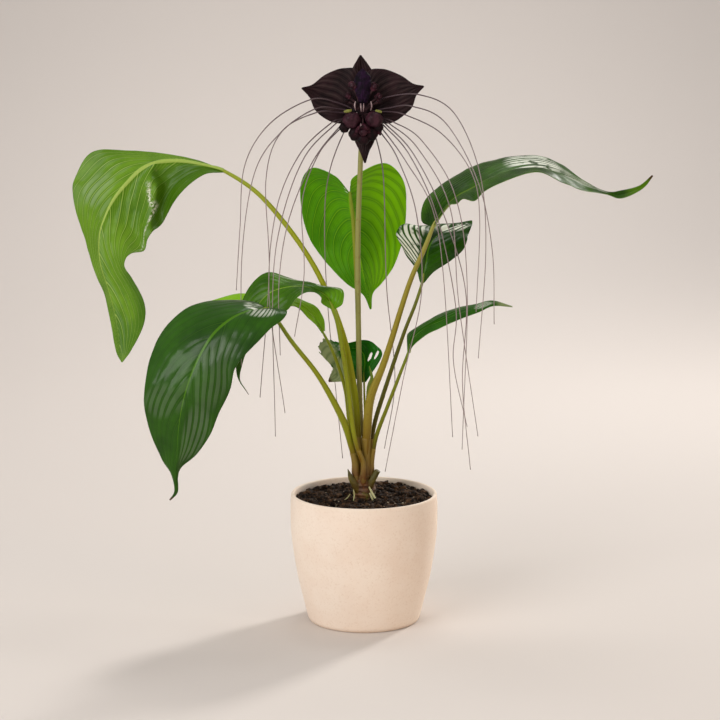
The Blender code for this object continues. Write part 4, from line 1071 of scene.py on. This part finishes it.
def low_left_relief(s, side):
    """The long swells on both halves of the low left leaf."""
    return 1.6 * math.sin(s * 17) * hump(abs(side), 0.55, 0.3) * hump(s, 0.45, 0.3)


def young_relief(s, side):
    """The fold line down the young leaf."""
    return 3.2 * hump(side, -0.25, 0.12) * hump(s, 0.5, 0.3)


RELIEFS = {"tall_left": tall_left_relief, "low_left": low_left_relief, "tall_right": tall_right_relief,
           "young": young_relief}


def make_leaves():
    """Every leaf with its blade and stalk, the rolled shoot, and the stalk that carries the bloom."""
    for key, (upper, under, veins, lean, wave, coat, columns, rows) in BLADES.items():
        name = "leaf_" + key
        parts = LEAVES[key]
        folded = key == "tall_left"
        dry = key in DRY_TIPS
        face = blade_look(name + "_face", upper, veins, lean, 0.4, coat, 0.25, HIGHLIGHT_BARS.get(key),
                          zone=ZONES.get(key), dry_tip=dry)
        back = blade_look(name + "_back", under, veins, lean, 0.45, coat / 2, 0.7, BACK_HIGHLIGHT_BARS.get(key),
                          marked=folded, dry_tip=dry, painted_glow=PAINTED_GLOW.get(key))
        piece = blade(name + "_blade", parts, (face, back), veins, lean, columns, rows, wave,
                      QUILTS.get(key, 0.6), relief=RELIEFS.get(key),
                      marks=tall_left_glint_and_shade if folded else None, slots=SLOTS if key == "young" else ())
        place_piece(piece, name, name)
        skin = stalk_look(name + "_stalk_skin", *STALK_TONES.get(key, STALK_TONES["other"]))
        route = parts["stalk"] + [(*parts["ribs"][0][:3], 1)]
        groove_at = 0.0 if parts["stalk"][-1][0] < 0 else math.pi
        place_piece(rolled(name + "_stalk", route, skin, 20, 120, 0.28, groove_at), name)
    skin = stalk_look("shoot_skin", (96, 58, 28), (118, 134, 52), (96, 122, 40))
    place_piece(rolled("shoot_stalk", SHOOT, skin, 18, 80, 0.3, 1.5), "shoot", "shoot")
    skin = stalk_look("scape_skin", (110, 84, 38), (140, 138, 78), (146, 146, 88), 0.25)
    place_piece(rolled("scape_stalk", SCAPE, skin, 20, 140, lump=0.12), "scape", "scape")


# Stage
def make_stage():
    """A pale floor that sweeps up into a backdrop, soft lights and the camera."""
    scene = bpy.context.scene
    shape = grid(60, 120)
    rise = STAGE_FLAT + STAGE_BEND * math.pi / 2
    for vert in shape.verts:
        x = vert.co.x * STAGE_HALF_WIDTH
        run = (vert.co.y + 1) / 2 * STAGE_LENGTH - STAGE_FRONT
        if run < STAGE_FLAT:
            vert.co = (x, run, 0)
        elif run < rise:
            angle = (run - STAGE_FLAT) / STAGE_BEND
            vert.co = (x, STAGE_FLAT + STAGE_BEND * math.sin(angle), STAGE_BEND * (1 - math.cos(angle)))
        else:
            vert.co = (x, STAGE_FLAT + STAGE_BEND, STAGE_BEND + run - rise)
    floor = to_piece("stage_floor", shape, Skin("stage_paper", 0.9, (213, 205, 199)).done())
    scene.world = bpy.data.worlds.new("stage_light")
    scene.world.use_nodes = True
    sky = scene.world.node_tree.nodes["Background"]
    sky.inputs["Color"].default_value = SKY_COLOUR
    sky.inputs["Strength"].default_value = SKY_STRENGTH
    scene.view_settings.view_transform = "Standard"
    for name, place, aim, size, power, colour, spread in LAMPS:
        data = bpy.data.lights.new(name, "AREA")
        data.size = size
        data.energy = power
        data.spread = math.radians(spread)
        data.color = colour
        lamp = bpy.data.objects.new(name, data)
        lamp.location = place
        lamp.rotation_euler = (Vector(aim) - Vector(place)).to_track_quat("-Z", "Y").to_euler()
        scene.collection.objects.link(lamp)
    lens = bpy.data.cameras.new("camera")
    lens.lens = CAMERA_LENS
    lens.sensor_width = CAMERA_SENSOR
    camera = bpy.data.objects.new("camera", lens)
    camera.location = CAMERA_PLACE
    camera.rotation_euler = (math.pi / 2 - CAMERA_DROP, 0, 0)
    scene.collection.objects.link(camera)
    scene.camera = camera


make_stage()
make_pot()
make_soil()
make_crown([parts["stalk"] for parts in LEAVES.values()] + [SHOOT, SCAPE])
make_leaves()
make_bracts()
make_florets()
make_whiskers()
